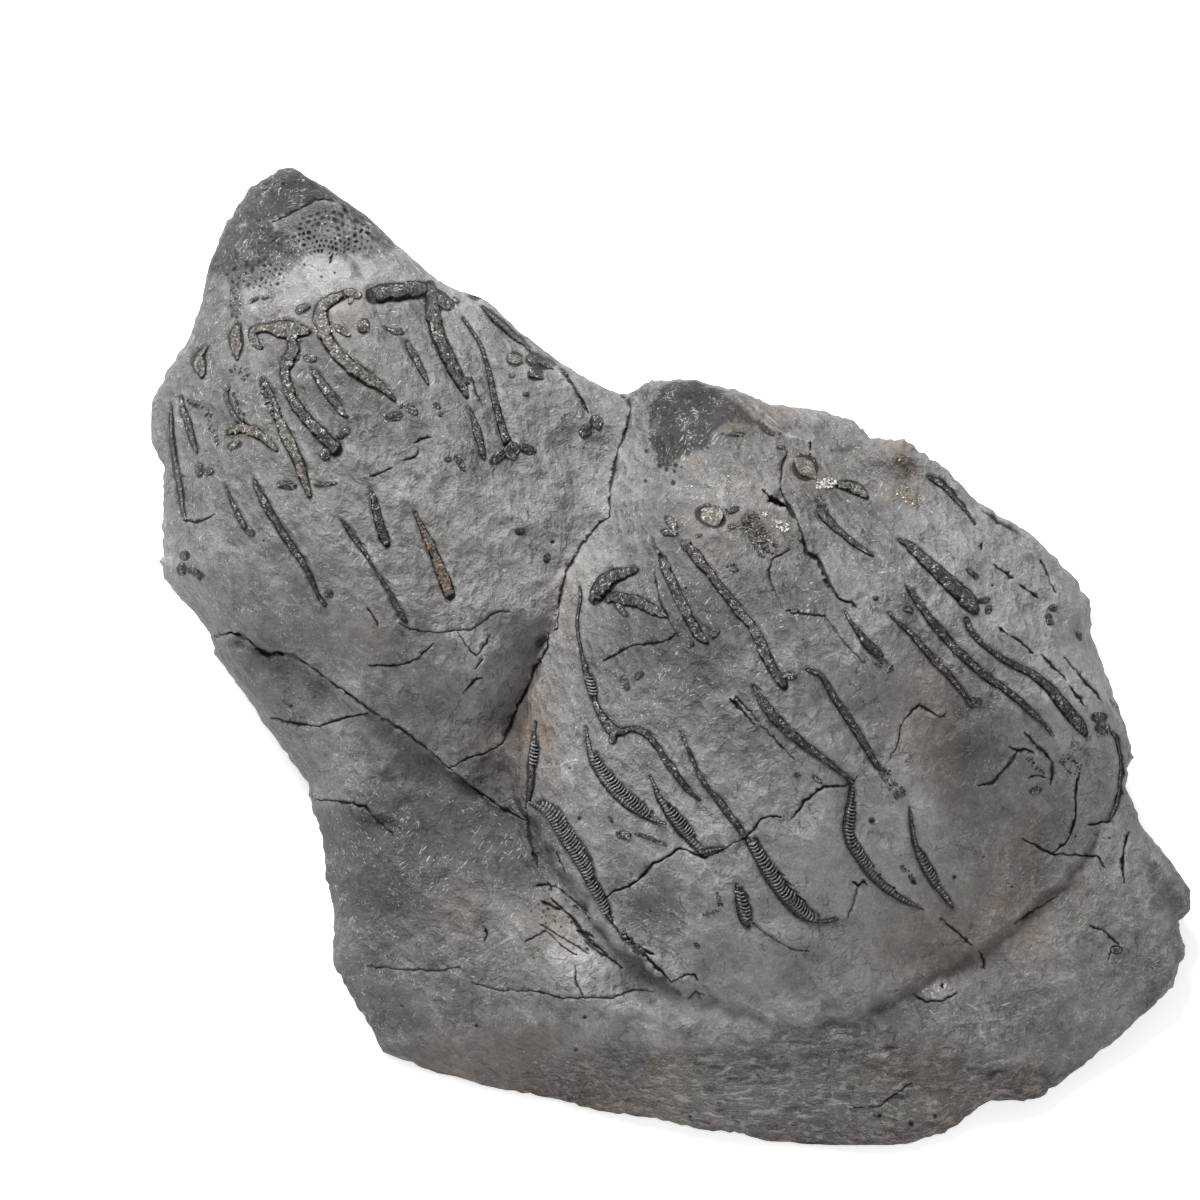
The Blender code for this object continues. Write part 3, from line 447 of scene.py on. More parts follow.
RIGHT_ARMS = (
    ArmSection("right_arm_1", ((-24.8, 182.3, 4.5), (-23.6, 184.6, 6.2), (-21.3, 187.6, 6.4),
     (-18.5, 189.6, 5.2), (-15.2, 190.8, 4), (-12.5, 191.3, 2.6), (-11, 191.7, 1)),
     pitch=1.5, ribs=0.3, raised=1.3),
    ArmSection("right_arm_2", ((-21, 181.6, 2), (-18.5, 182.6, 3.4), (-15, 181.9, 4.2), (-11.5, 181.4, 4),
     (-8, 179.7, 3.8), (-4.8, 178, 3), (-2.3, 176.8, 1.8), (-1.3, 176.2, 0.6)),
     pitch=1.5, ribs=0.3, raised=1.2),
    ArmSection("right_arm_3", ((-2.4, 195.3, 2.8), (-1.3, 191.5, 3.4), (0.8, 187, 3.4), (2.8, 182.6, 3.5),
     (5, 178.3, 3.2), (6.3, 175.6, 3.3), (8, 172.5, 3.6), (9.8, 169.8, 3), (12.2, 167.8, 1.2)),
     raised=1.2),
    ArmSection("right_arm_4", ((5.2, 199.8, 2.4), (8.2, 196.8, 4.2), (10.3, 193.8, 3.4), (13.3, 190.5, 3),
     (15.4, 187.4, 3), (18, 184.2, 3.1), (21, 180.3, 3.2), (23.7, 176.8, 3.4), (25.8, 174.8, 2.9),
     (27.8, 171.8, 3.2), (29.7, 168, 3.5), (31.5, 163.5, 3.6), (34, 158.8, 3.3), (36.5, 155.2, 3.4),
     (37.6, 153.3, 2.4)), raised=1.2),
    ArmSection("right_arm_5", ((45.5, 158.5, 0.8), (49.5, 157, 1.2), (51.8, 153.8, 1.8),
     (54.3, 149.5, 2.2), (57.6, 144.7, 2.4), (60.5, 140.3, 2.4), (63.5, 135.4, 2.4), (66.2, 130.7, 2.2),
     (68.6, 126.7, 1.8), (69.6, 125.7, 1.2))),
    ArmSection("right_arm_6", ((79.6, 113, 0.4), (79.9, 109.5, 1), (80.5, 105.5, 1.3), (81.2, 101.5, 1.6),
     (82.3, 97.8, 1.8), (84, 94, 2.1), (86, 90.2, 2.2), (88.3, 86.8, 2.2), (91, 83.7, 2), (93, 81, 1.6),
     (94, 79.5, 1.2)), Look.COMBED, pitch=1.1, ribs=0.22),
    ArmSection("right_arm_7", ((60.5, 121.6, 0.8), (60.2, 118, 1.9), (59.5, 114, 2.2), (58.6, 109.5, 2),
     (58.2, 105.5, 2), (58.9, 102, 2.1), (60.9, 98.3, 2.3), (63.2, 95, 2.6), (65.8, 91.8, 2.8),
     (68.7, 88.7, 2.9), (71.9, 85.9, 2.7), (75.2, 83.3, 2.3), (78.8, 81.3, 1.8), (82, 79.7, 1.1),
     (84.3, 78.6, 0.5)), Look.COMBED, pitch=1.15, ribs=0.3),
    ArmSection("right_arm_8", ((27.6, 153.2, 0.6), (29, 150.3, 2.2), (31, 147.3, 2.9), (33.6, 144, 3.1),
     (36.3, 140.9, 3.2), (39.8, 137.6, 3), (43.8, 134.2, 2.7), (47.5, 131.5, 2.3), (51.3, 128.7, 1.9),
     (54.7, 126, 1.5), (57.8, 123.5, 1.2), (60.3, 121.5, 0.8))),
    ArmSection("right_arm_9", ((3.5, 138, 0.4), (4.9, 134.7, 0.8), (6.3, 131.5, 1), (7.6, 128.3, 1.2),
     (8.9, 125.1, 1.2), (10.8, 121.9, 1.5), (12.9, 118.7, 1.6), (14.8, 116.6, 2), (16.7, 114.5, 2.2),
     (18.7, 111.8, 2.3), (21, 108.6, 2.2), (23.6, 105.4, 2), (24.3, 103, 1.8))),
    ArmSection("right_arm_10", ((25.4, 102.3, 1.4), (27, 99.3, 1.8), (29.3, 95.3, 2.2), (31.7, 91, 2.4),
     (34.5, 86.6, 2.6), (37.8, 82.4, 2.7), (41.2, 79, 2.7), (44.4, 76.6, 2.3), (47.6, 75.2, 1.6),
     (51, 74.9, 1.1), (55.6, 75.7, 0.6)), Look.COMBED, pitch=1.1, ribs=0.22),
    ArmSection("right_arm_11", ((-28, 139.5, 0.5), (-27.5, 136, 1.2), (-26.8, 132, 2),
     (-25.6, 128.4, 2.6), (-23.8, 125, 2.8), (-21.9, 121.9, 2.8), (-19.2, 118.6, 2.7),
     (-16.2, 115.6, 2.6), (-13, 113, 2.3), (-9.9, 110.9, 1.9), (-6.7, 109.2, 1.4), (-4, 108.2, 0.9),
     (-1.6, 107.5, 0.4)), Look.COMBED, pitch=1.15, ribs=0.22),
    ArmSection("right_arm_12", ((-6.5, 123, 0.4), (-5.2, 119.8, 1.3), (-4, 116.7, 1.9), (-2, 113.5, 2.3),
     (0.3, 109.7, 2.9), (3.1, 106, 2.9), (6, 102.8, 2.8), (9.2, 99.6, 2.6), (10.3, 98, 2),
     (12.8, 98.5, 1.4), (15.5, 99, 1), (17.6, 99.5, 0.4)), Look.COMBED, pitch=1.15, ribs=0.25),
    ArmSection("right_arm_13", ((-30, 186.2, 0.5), (-29.8, 182, 0.8), (-30.8, 175.8, 0.9),
     (-30.6, 170.5, 1), (-29.7, 165.1, 1.2), (-28.4, 159.8, 1.8), (-27.3, 154.5, 2.2),
     (-25.9, 149.9, 1.6))),
    ArmSection("right_arm_14", ((-25.3, 149.5, 1.6), (-24.5, 146.5, 2.2), (-22.9, 143.6, 2.6),
     (-21.2, 140.8, 3.2), (-18.9, 138.6, 3.6), (-16.2, 138, 2.4), (-13.6, 138.9, 1.4), (-11.2, 138.8, 2),
     (-9, 137.9, 2), (-6.9, 136.3, 1.9), (-5.2, 134.1, 1.9), (-3.6, 132, 2.1), (-2.1, 129.4, 2.3),
     (0.1, 126.6, 2.4), (2.1, 123.5, 2.2), (4, 121, 1.9), (5.9, 118.7, 1.5), (8, 116.9, 1),
     (9.9, 115.4, 0.4)), pitch=1.6, ribs=0.2),
    ArmSection("right_arm_15", ((-44.6, 141, 0.5), (-45.1, 138.3, 1.2), (-45.4, 135, 2.2),
     (-45.6, 132, 2.7), (-46, 128, 2.8), (-46.2, 124, 2.8), (-46.4, 120, 2.6), (-46.8, 117, 2.2),
     (-47.3, 114.8, 1.4)), pitch=1.2, ribs=0.22),
    ArmSection("right_arm_16", ((-47.3, 114.4, 0.8), (-43.7, 112.9, 1.8), (-41.1, 111.3, 2.2),
     (-38.9, 108.6, 2.6), (-36.8, 104.9, 2.8), (-34.7, 101.1, 2.6), (-32, 97.4, 2.6), (-29.9, 93.7, 2.6),
     (-27.7, 89.9, 2.6), (-25.6, 86.2, 2.2), (-23.5, 82.5, 1.8), (-21.3, 78.2, 1.4), (-19.5, 75, 1)),
     Look.COMBED, pitch=1.05, ribs=0.3),
    ArmSection("right_leaf", ((22.1, 87.3, 0.6), (22.5, 84.5, 1.6), (23, 81, 2.2), (23.6, 77.8, 2.6),
     (24.9, 74.8, 2.8), (25.8, 73.6, 1.6)), Look.COMBED, pitch=1.1, ribs=0.3),
    ArmSection("right_plate", ((56.2, 219.7, 2), (58.8, 219.8, 3.8), (61.8, 218.8, 4.6), (64.4, 217, 3.2),
     (65.6, 216, 1.4)), Look.BROWN, 3),
    ArmSection("right_arm_17", ((50, 212, 2.6), (51, 209.8, 3.6), (53.3, 207.3, 3), (56, 204.8, 2.4),
     (59.3, 202, 2.2), (62.5, 199.6, 1.8), (65.3, 197.8, 1.4), (67.5, 196.6, 0.6))),
    ArmSection("right_arm_18", ((86.3, 222.6, 1.2), (88.8, 221.3, 2), (91.8, 218.8, 2.1),
     (94.6, 215.8, 1.7), (97.4, 212.6, 1.1), (99.8, 209.5, 0.7), (101.5, 207, 0.4))),
    ArmSection("right_arm_19", ((76.2, 201.8, 1.2), (79, 200.3, 2.8), (82.2, 197.3, 3.6),
     (85.3, 194.2, 4.2), (88.8, 191, 4.6), (92.3, 187.8, 5), (95.6, 184.8, 5.4), (98.5, 182, 6),
     (100.3, 179.8, 5.4), (101.2, 178.5, 3.5)), pitch=2.2, raised=1.3),
    ArmSection("right_arm_20", ((98.4, 175.3, 2), (100, 171.5, 1.8), (101.6, 169.4, 1.8),
     (104.3, 166.7, 1.3), (106.9, 164.6, 1.2), (108.8, 163.3, 1.6), (111.7, 161.4, 2),
     (114.9, 159.8, 2.2), (118.7, 158.2, 2.4), (121.9, 156.1, 2.6), (124.5, 153.9, 3),
     (127.2, 151.3, 3.6), (129.9, 148.1, 4), (132.5, 144.9, 4.2), (135.2, 141.7, 4.2),
     (137.1, 139.3, 3.8), (138.4, 137.1, 2)), pitch=1.3, ribs=0.25),
    ArmSection("right_arm_21", ((78.5, 186.2, 0.6), (80.8, 183.3, 1.8), (83.2, 179.8, 2.4),
     (85.5, 176.4, 2.6), (88.4, 172.8, 2.8), (91.8, 168.9, 2.8), (95.2, 165.1, 2.8), (98.8, 161.8, 2.7),
     (102.7, 158.3, 2.6), (106.4, 155.3, 2.5), (110.1, 153, 2.2), (113.3, 150.6, 2.2),
     (116.5, 147.8, 2.2), (119.7, 144.9, 1.8), (122.9, 142.1, 1.3), (125.3, 139.6, 0.9),
     (127.5, 136.6, 0.4))),
    ArmSection("right_arm_22", ((72.4, 177.3, 0.4), (76.1, 173.8, 1.1), (79.9, 170.6, 1.6),
     (83.1, 166.9, 2), (86.5, 163, 2.2), (89, 160.4, 2.3), (92, 157.2, 2.2), (94.8, 154, 1.8),
     (97, 151.3, 1.4), (98.8, 148.8, 1.2), (100.2, 146.5, 1))),
    ArmSection("right_arm_23", ((58, 177.6, 0.6), (59.8, 174.6, 1.2), (62.3, 171.2, 2.2),
     (64.4, 168.3, 2.8), (66.6, 165.9, 3.4), (68.8, 164.2, 3), (70, 163.2, 1.4))),
    ArmSection("right_arm_24", ((147.5, 137.5, 0.8), (148.8, 135.8, 1), (149.6, 133.1, 1),
     (150.1, 130.5, 1.1), (150.5, 127.3, 1.1), (150.5, 123.5, 1.1), (150.1, 120.3, 1.1), (149.6, 115, 1),
     (148, 110.5, 0.8), (146.5, 108, 0.4))),
)

# Short strips of arm that lie loose between the sections.
LOOSE_STRIPS = (
    ((-96.3, 273, 1.2), (-94, 272, 2.2), (-91.5, 270.9, 2.6), (-89, 271.6, 2.2)),
    ((-11.8, 104.2, 1), (-8.5, 103.4, 1.6), (-4.8, 101.9, 1.7), (-1.2, 100.5, 1)),
    ((-5.9, 202.8, 1), (-5.3, 200, 1.7), (-3.5, 197, 1.4)),
    ((27.3, 74.6, 0.9), (30.5, 71.9, 0.5), (34.3, 69.3, 0.8), (38, 67.1, 0.5), (41.2, 65.5, 0.8),
     (46.5, 65, 0.4)),
    ((-24.5, 187, 1.2), (-25.6, 184, 1.5), (-25.8, 181, 0.8)),
)


@dataclass(frozen=True)
class Crack:
    """A crack, a groove or a vein in the face.

    Attributes:
        line: its corners.
        width: its width, in millimetres.
        dark: how much painted shade darkens it inside. Below zero it is a pale, raised vein.
    """

    line: Line
    width: float = 0.6
    dark: float = 1.0

    @property
    def depth(self) -> float:
        """Depth of the crack, in millimetres."""
        return 0.35 + 1.5 * self.width if self.dark > 0.0 else -0.12


CRACKS = tuple(Crack(*row) for row in (
    (((-15.5, 249), (-13.6, 247.5), (-13, 245), (-13.8, 241.5), (-14.8, 238), (-15.5, 235), (-17, 232.5)),
     0.8),
    (((-17, 232.5), (-18.5, 226), (-20, 217.5), (-20, 209.5)), 0.7),
    (((-20, 209.5), (-23.5, 207), (-29, 200.5), (-34.5, 191), (-37, 180), (-37.5, 172)), 0.7, 0.8),
    (((-37.5, 172), (-40.5, 170), (-40.5, 166), (-42.5, 162.5), (-45, 159), (-46.4, 155), (-48, 151.3),
     (-50.4, 147), (-52.3, 142.7), (-53.1, 139.5), (-56, 134), (-60.5, 131), (-67, 129), (-73.5, 125.5)),
     0.8),
    (((-152.5, 169.3), (-147.5, 170.3), (-146.5, 170.7)), 0.6),
    (((-146.5, 170.7), (-144, 170.3), (-142, 169.2), (-140, 167.8), (-138, 165.8), (-136, 164.3),
     (-133.5, 163.7), (-131.5, 164.2), (-127.5, 164.1), (-125, 163), (-122.5, 161.3), (-120.5, 160.2)),
     1.3),
    (((-120.5, 160.2), (-117, 157.5), (-113, 154.5), (-110, 152.5), (-106, 149.8), (-102, 146.5),
     (-98, 144), (-88.5, 138), (-81.5, 132.5), (-73.5, 125.5)), 0.7),
    (((-73.5, 125.5), (-67, 120), (-62, 116.5), (-55, 111.5), (-48, 108)), 0.8),
    (((-135.5, 143), (-127, 141), (-117.5, 139.5), (-108, 142.5), (-100.5, 144)), 0.6),
    (((-119, 115), (-110, 114.5), (-101.5, 112.5), (-98.5, 109)), 0.8),
    (((-98.5, 109), (-96, 106.5), (-92, 103)), 0.5, 0.7),
    (((-100, 160), (-92, 160), (-87, 160.8), (-84, 162.2), (-81, 165), (-79, 167)), 0.6),
    (((-69, 150.7), (-67, 153), (-65, 155), (-62.5, 155.8)), 0.8), (((-62, 162.3), (-65, 158.8)), 0.5),
    (((-71, 171), (-68.5, 167.5), (-66, 164.3), (-64.2, 163.3), (-62, 166), (-60, 169.8)), 0.5),
    (((-100.5, 179.3), (-98.5, 176), (-96.8, 173)), 0.9),
    (((-162.4, 208.2), (-158, 207.6), (-155, 208.5), (-152, 210.2)), 0.7),
    (((-99.5, 222.5), (-96, 223.8), (-92.5, 225.8)), 0.5, 0.8),
    (((-89, 227.8), (-85, 229), (-83.5, 231), (-84.3, 232.5)), 0.5, 0.8),
    (((-84.5, 234), (-82, 235.3), (-79.5, 235.8)), 0.5, 0.8),
    (((-66, 256), (-64.8, 251), (-63, 248), (-62, 245.8)), 0.5, 0.8),
    (((-37, 259.5), (-33, 254.5), (-30, 249.5), (-27, 244)), 1, 0.9),
    (((-90, 174), (-86, 172), (-80, 171), (-76, 171), (-72, 171.5), (-66, 172), (-63, 174), (-60, 176.5),
     (-57, 178), (-53, 177.5)), 0.5, 0.55),
    (((-5.3, 191.5), (-4.3, 186), (-3.4, 181.5), (-1.6, 177.3), (0.6, 173), (2.8, 169.4)), 0.6),
    (((-22.3, 161.4), (-18, 163.5), (-12.7, 166.7), (-7.9, 167), (-2.5, 167.8), (1.7, 170.2)), 0.6, 0.9),
    (((39.6, 198.2), (34.3, 195.5), (32.7, 191.8), (33.2, 187.5), (35.3, 183.3), (37.2, 178.7)),
     0.5, 0.9),
    (((30.5, 218.5), (34.8, 213.7), (38.5, 212.6)), 0.7),
    (((39, 231), (37.6, 227.5), (37, 223.5), (36.7, 218.6)), 0.7),
    (((36.7, 218.6), (38.8, 213.3), (42.5, 207.4), (43.9, 203.1), (45.2, 197.3), (49.2, 195.1),
     (51.1, 190.9), (53.2, 186.1), (55.9, 182.3), (58, 181)), 1.5),
    (((32.5, 216), (37.8, 213)), 2.6),
    (((38.4, 178.4), (45, 177), (51.3, 176.1), (57.1, 167.9), (64.2, 160.8)), 0.5, 0.5),
    (((58, 181), (60.1, 180.7), (62, 179.1)), 0.7),
    (((24, 102.5), (21.3, 101.1), (18.1, 99.5), (15.5, 97.9), (11.2, 96.3), (8.5, 97.4), (5.3, 98.7),
     (2.7, 99.3), (1.1, 97.9), (-2.1, 95.8), (-5.9, 94.2), (-7.5, 92.1), (-9.1, 90.2), (-11.2, 88.3),
     (-13.9, 86.7), (-18.1, 85.1), (-21.9, 82.7)), 0.8),
    (((24.7, 102.5), (27.3, 105.4), (28.7, 107.5), (30.5, 109.4), (33.2, 110.2), (36.9, 109.8)), 0.7),
    (((40.1, 109.4), (42.8, 112.3), (44.4, 115), (47.1, 117.1), (50.8, 119.8), (54, 120.1), (57.2, 120.1),
     (60.4, 121.4), (62, 123.3)), 0.7),
    (((72.7, 128.9), (74.8, 132.1), (75.9, 135.3), (76.1, 139), (77.5, 141.7), (80.1, 144.9), (82.8, 147),
     (84.9, 145.9), (87.6, 143.8), (89.7, 142.7), (91.9, 144.6)), 0.6, 0.9),
    (((60.4, 88.5), (62.5, 86.9), (64.1, 88.2), (65.7, 87.1)), 0.8),
    (((62.5, 86.9), (61, 81), (58.8, 75.7)), 0.6, 0.5),
    (((-19.5, 75), (-16.5, 71), (-12, 67.5), (-8.5, 64), (-5.5, 60.5), (-2, 57.5), (0.7, 54.9)), 0.9),
    (((0.7, 54.9), (2.3, 55.7), (5.5, 57.5), (8.1, 57), (9.2, 55.4)), 0.6),
    (((6.3, 49.3), (8.7, 51.7), (11.3, 50.6)), 0.5, 0.8),
    (((-36.8, 85.7), (-32, 81.5), (-27.2, 77.7)), 0.6, 0.7),
    (((-39.7, 82.2), (-36, 79), (-32.5, 76), (-29, 70.5), (-24, 66), (-19, 61.5), (-16, 59.5)), 0.9, 0.8),
    (((-44.3, 86.3), (-41, 86.8), (-37.6, 86)), 0.6, 0.6),
    (((-43, 81.5), (-39.5, 79.8), (-36.5, 78.5)), 1, 0.7),
    (((-31, 71.5), (-28.5, 71), (-25.5, 69.5)), 0.8, 0.7),
    (((-43, 73.5), (-38, 70.5), (-33, 67.5), (-27, 64)), 0.6, 0.5),
    (((-28.5, 68.5), (-24, 64.5), (-20, 62.5), (-16, 59.4)), 0.8, 0.7),
    (((33.5, 92), (38, 90.3)), 0.5, 0.6), (((35.5, 89.5), (41, 87)), 0.5, 0.6),
    (((37.5, 86.8), (43, 84.2)), 0.5, 0.6), (((40, 84.3), (45, 82)), 0.5, 0.6),
    (((103, 211.3), (109, 207.3), (115, 204), (119, 201.7)), 0.9, 0.8),
    (((-12, 65), (-9, 65.6), (-5.5, 64)), 1.3, 0.8),
    (((-48.3, 113.5), (-47.2, 107), (-46.5, 101), (-45.3, 96.5), (-43.8, 92.5)), 1),
    (((-37.8, 98.2), (-36.4, 94.5), (-34.8, 91)), 0.8), (((-40.5, 88), (-39.2, 84.5)), 0.6),
    (((19.9, 149.1), (23.5, 145.3), (27.9, 140.6)), 0.9),
    (((21.5, 150), (25.3, 146), (29.3, 141.6)), 0.5, 0.8),
    (((30, 140.2), (35, 135), (41.2, 128.9)), 0.5, 0.7),
    (((107.7, 193.4), (110.7, 191.3), (114.4, 188.9)), 0.8),
    (((116.5, 186.7), (119.7, 184.3), (122.9, 182.2)), 0.8, 0.8),
    (((123.5, 195), (125.6, 190.7), (126.7, 187), (128.8, 184.3)), 0.7, 0.9),
    (((109.3, 172.6), (112.3, 169.9)), 0.8),
    (((113.3, 170), (116, 168), (118.3, 166.6), (121, 163.5)), 0.9, 0.9),
    (((124, 163), (126.1, 160.9), (128.8, 158.2), (132, 155)), 0.8),
    (((131.2, 162.7), (133.6, 160.1), (136.3, 156.9), (138.9, 153.4), (141.6, 150.7), (143.7, 148.1)),
     0.9, 0.9),
    (((133.1, 152.9), (136.3, 149.1), (137.9, 146.5)), 0.8),
    (((146.4, 148.1), (149.1, 145.4), (150.4, 142.7)), 0.7),
    (((117.9, 137.7), (120.8, 134.7), (124, 131.5), (126.7, 128.9)), 1, 0.8),
    (((127.2, 128.9), (127.5, 124.1), (126.9, 120.3)), 0.9, 0.7),
    (((112.8, 132.9), (115.5, 131.8), (118.7, 132.1), (121.3, 131)), 0.8),
    (((115.5, 131.5), (113.3, 127.8), (110.1, 124.1), (107.5, 121.1), (102.7, 119.8)), 1.3, 0.4),
    (((119.7, 122.5), (121.9, 123.5), (125.1, 122.7)), 0.8),
    (((136.8, 124.1), (135.6, 120.9), (135.5, 115.5), (135.3, 109), (133.8, 103.5), (131.8, 100),
     (128, 97.8)), 1, 0.9),
    (((103.6, 200.5), (103.9, 198.3)), 0.6),
    (((118, 101.8), (122.5, 99.5), (127, 97), (134, 96.6), (143, 96), (145.2, 92.5)), 0.7),
    (((140, 106.5), (144, 107.2), (147.5, 108)), 0.6),
    (((153, 104), (151.8, 98.5), (151.2, 93), (152, 87)), 0.8),
    (((90, 75.5), (94, 72.5), (97.5, 69.5), (100.5, 66.5)), 0.5, 0.9),
    (((103, 65), (104.8, 61.5), (105, 58.5)), 0.6, 0.8),
    (((115, 74), (121, 77.8), (129.5, 83)), 0.5, 0.7), (((140, 73), (146, 70.5), (150.5, 66)), 0.5, 0.8),
    (((81, 50.5), (85, 47.8), (90.5, 48), (95.5, 50.5)), 0.6, 0.9),
    (((60, 12), (70, 13), (75, 17), (80.5, 21)), 0.7, 0.8),
    (((-61.5, 72.3), (-60.6, 70), (-62, 67.7)), 0.6),
    (((-101, 59.3), (-88, 58.2), (-77, 58), (-70, 59.5)), 0.4, 0.25),
    (((-66, 54), (-57, 51.5), (-45, 51.5), (-36, 49.3), (-29, 49.5), (-19, 49.3), (-12, 52), (-6, 51.5)),
     0.5, 0.55),
    (((-31.5, 60), (-31.4, 55), (-29, 50)), 0.5, 0.9), (((46.6, 231.8), (46.7, 234.6)), 0.8),
    (((-48, 68), (-41, 71.5), (-36, 66.5), (-31, 63.5)), 0.5, 0.8),
    (((146.5, 61.5), (148, 65.5), (151, 65.8)), 0.5, 0.8),
    (((-133, 308), (-128, 310), (-123.5, 312.5), (-118, 315.3), (-112, 314.6)), 0.5, 0.45),
    (((-112.7, 297), (-113.3, 294.2)), 0.6), (((-108.5, 312.5), (-107, 309), (-104.5, 306)), 0.8, 0.6),
    # Pale veins and scribe lines.
    (((-62.7, 203.5), (-62, 199.5), (-57.5, 195.5), (-55.5, 192), (-53, 188.5)), 0.5, -0.7),
    (((-42.7, 126.2), (-37.9, 126.2), (-34.7, 127.8), (-30.4, 129.1)), 0.5, -0.8),
    (((69.5, 104.1), (74.8, 106.2)), 0.6, -0.9), (((10.1, 95.8), (13.3, 92.1), (16.5, 86.7)), 0.5, -0.8),
    (((-129.5, 304), (-128.8, 301), (-127.6, 298)), 0.6, -1),
    (((-7.5, 232), (-6.3, 235), (-5, 238), (-3, 240.5)), 0.7, -1),
    (((-4, 243), (1, 244.3), (5.5, 243.5)), 0.5, -0.6),
    (((10.5, 237), (12, 234.5), (13, 231.5)), 0.5, -0.7), (((7, 249), (9.5, 250.8)), 0.5, -0.8),
    (((23, 248), (28, 243.5), (32, 240), (38, 237), (46, 234.8)), 0.9, -0.9),
    (((27, 246.5), (32, 243), (37, 239.5)), 0.6, -0.8),
    (((19.9, 49.5), (27.3, 46.3), (38, 41)), 0.6, -0.6), (((0, 218.5), (-4, 214.5)), 0.5, -0.6),
    (((99, 47), (103, 45), (108, 46.8)), 0.6, -0.8), (((103, 42), (104, 37), (106, 32.5)), 0.5, -0.7),
    (((94, 40.5), (103, 41), (112, 42)), 0.5, -0.6), (((-58, 66.5), (-53, 69), (-49, 72.5)), 0.6, -0.9),
    (((-64, 62), (-58, 66.5)), 0.5, -0.7), (((-53, 68), (-50, 64)), 0.5, -0.8),
))


@dataclass(frozen=True)
class Ossicle:
    """A single loose ossicle: place, length, width and turn in degrees."""

    place: Flat
    length: float
    width: float
    turn: float = 0.0
    look: Look = Look.DARK


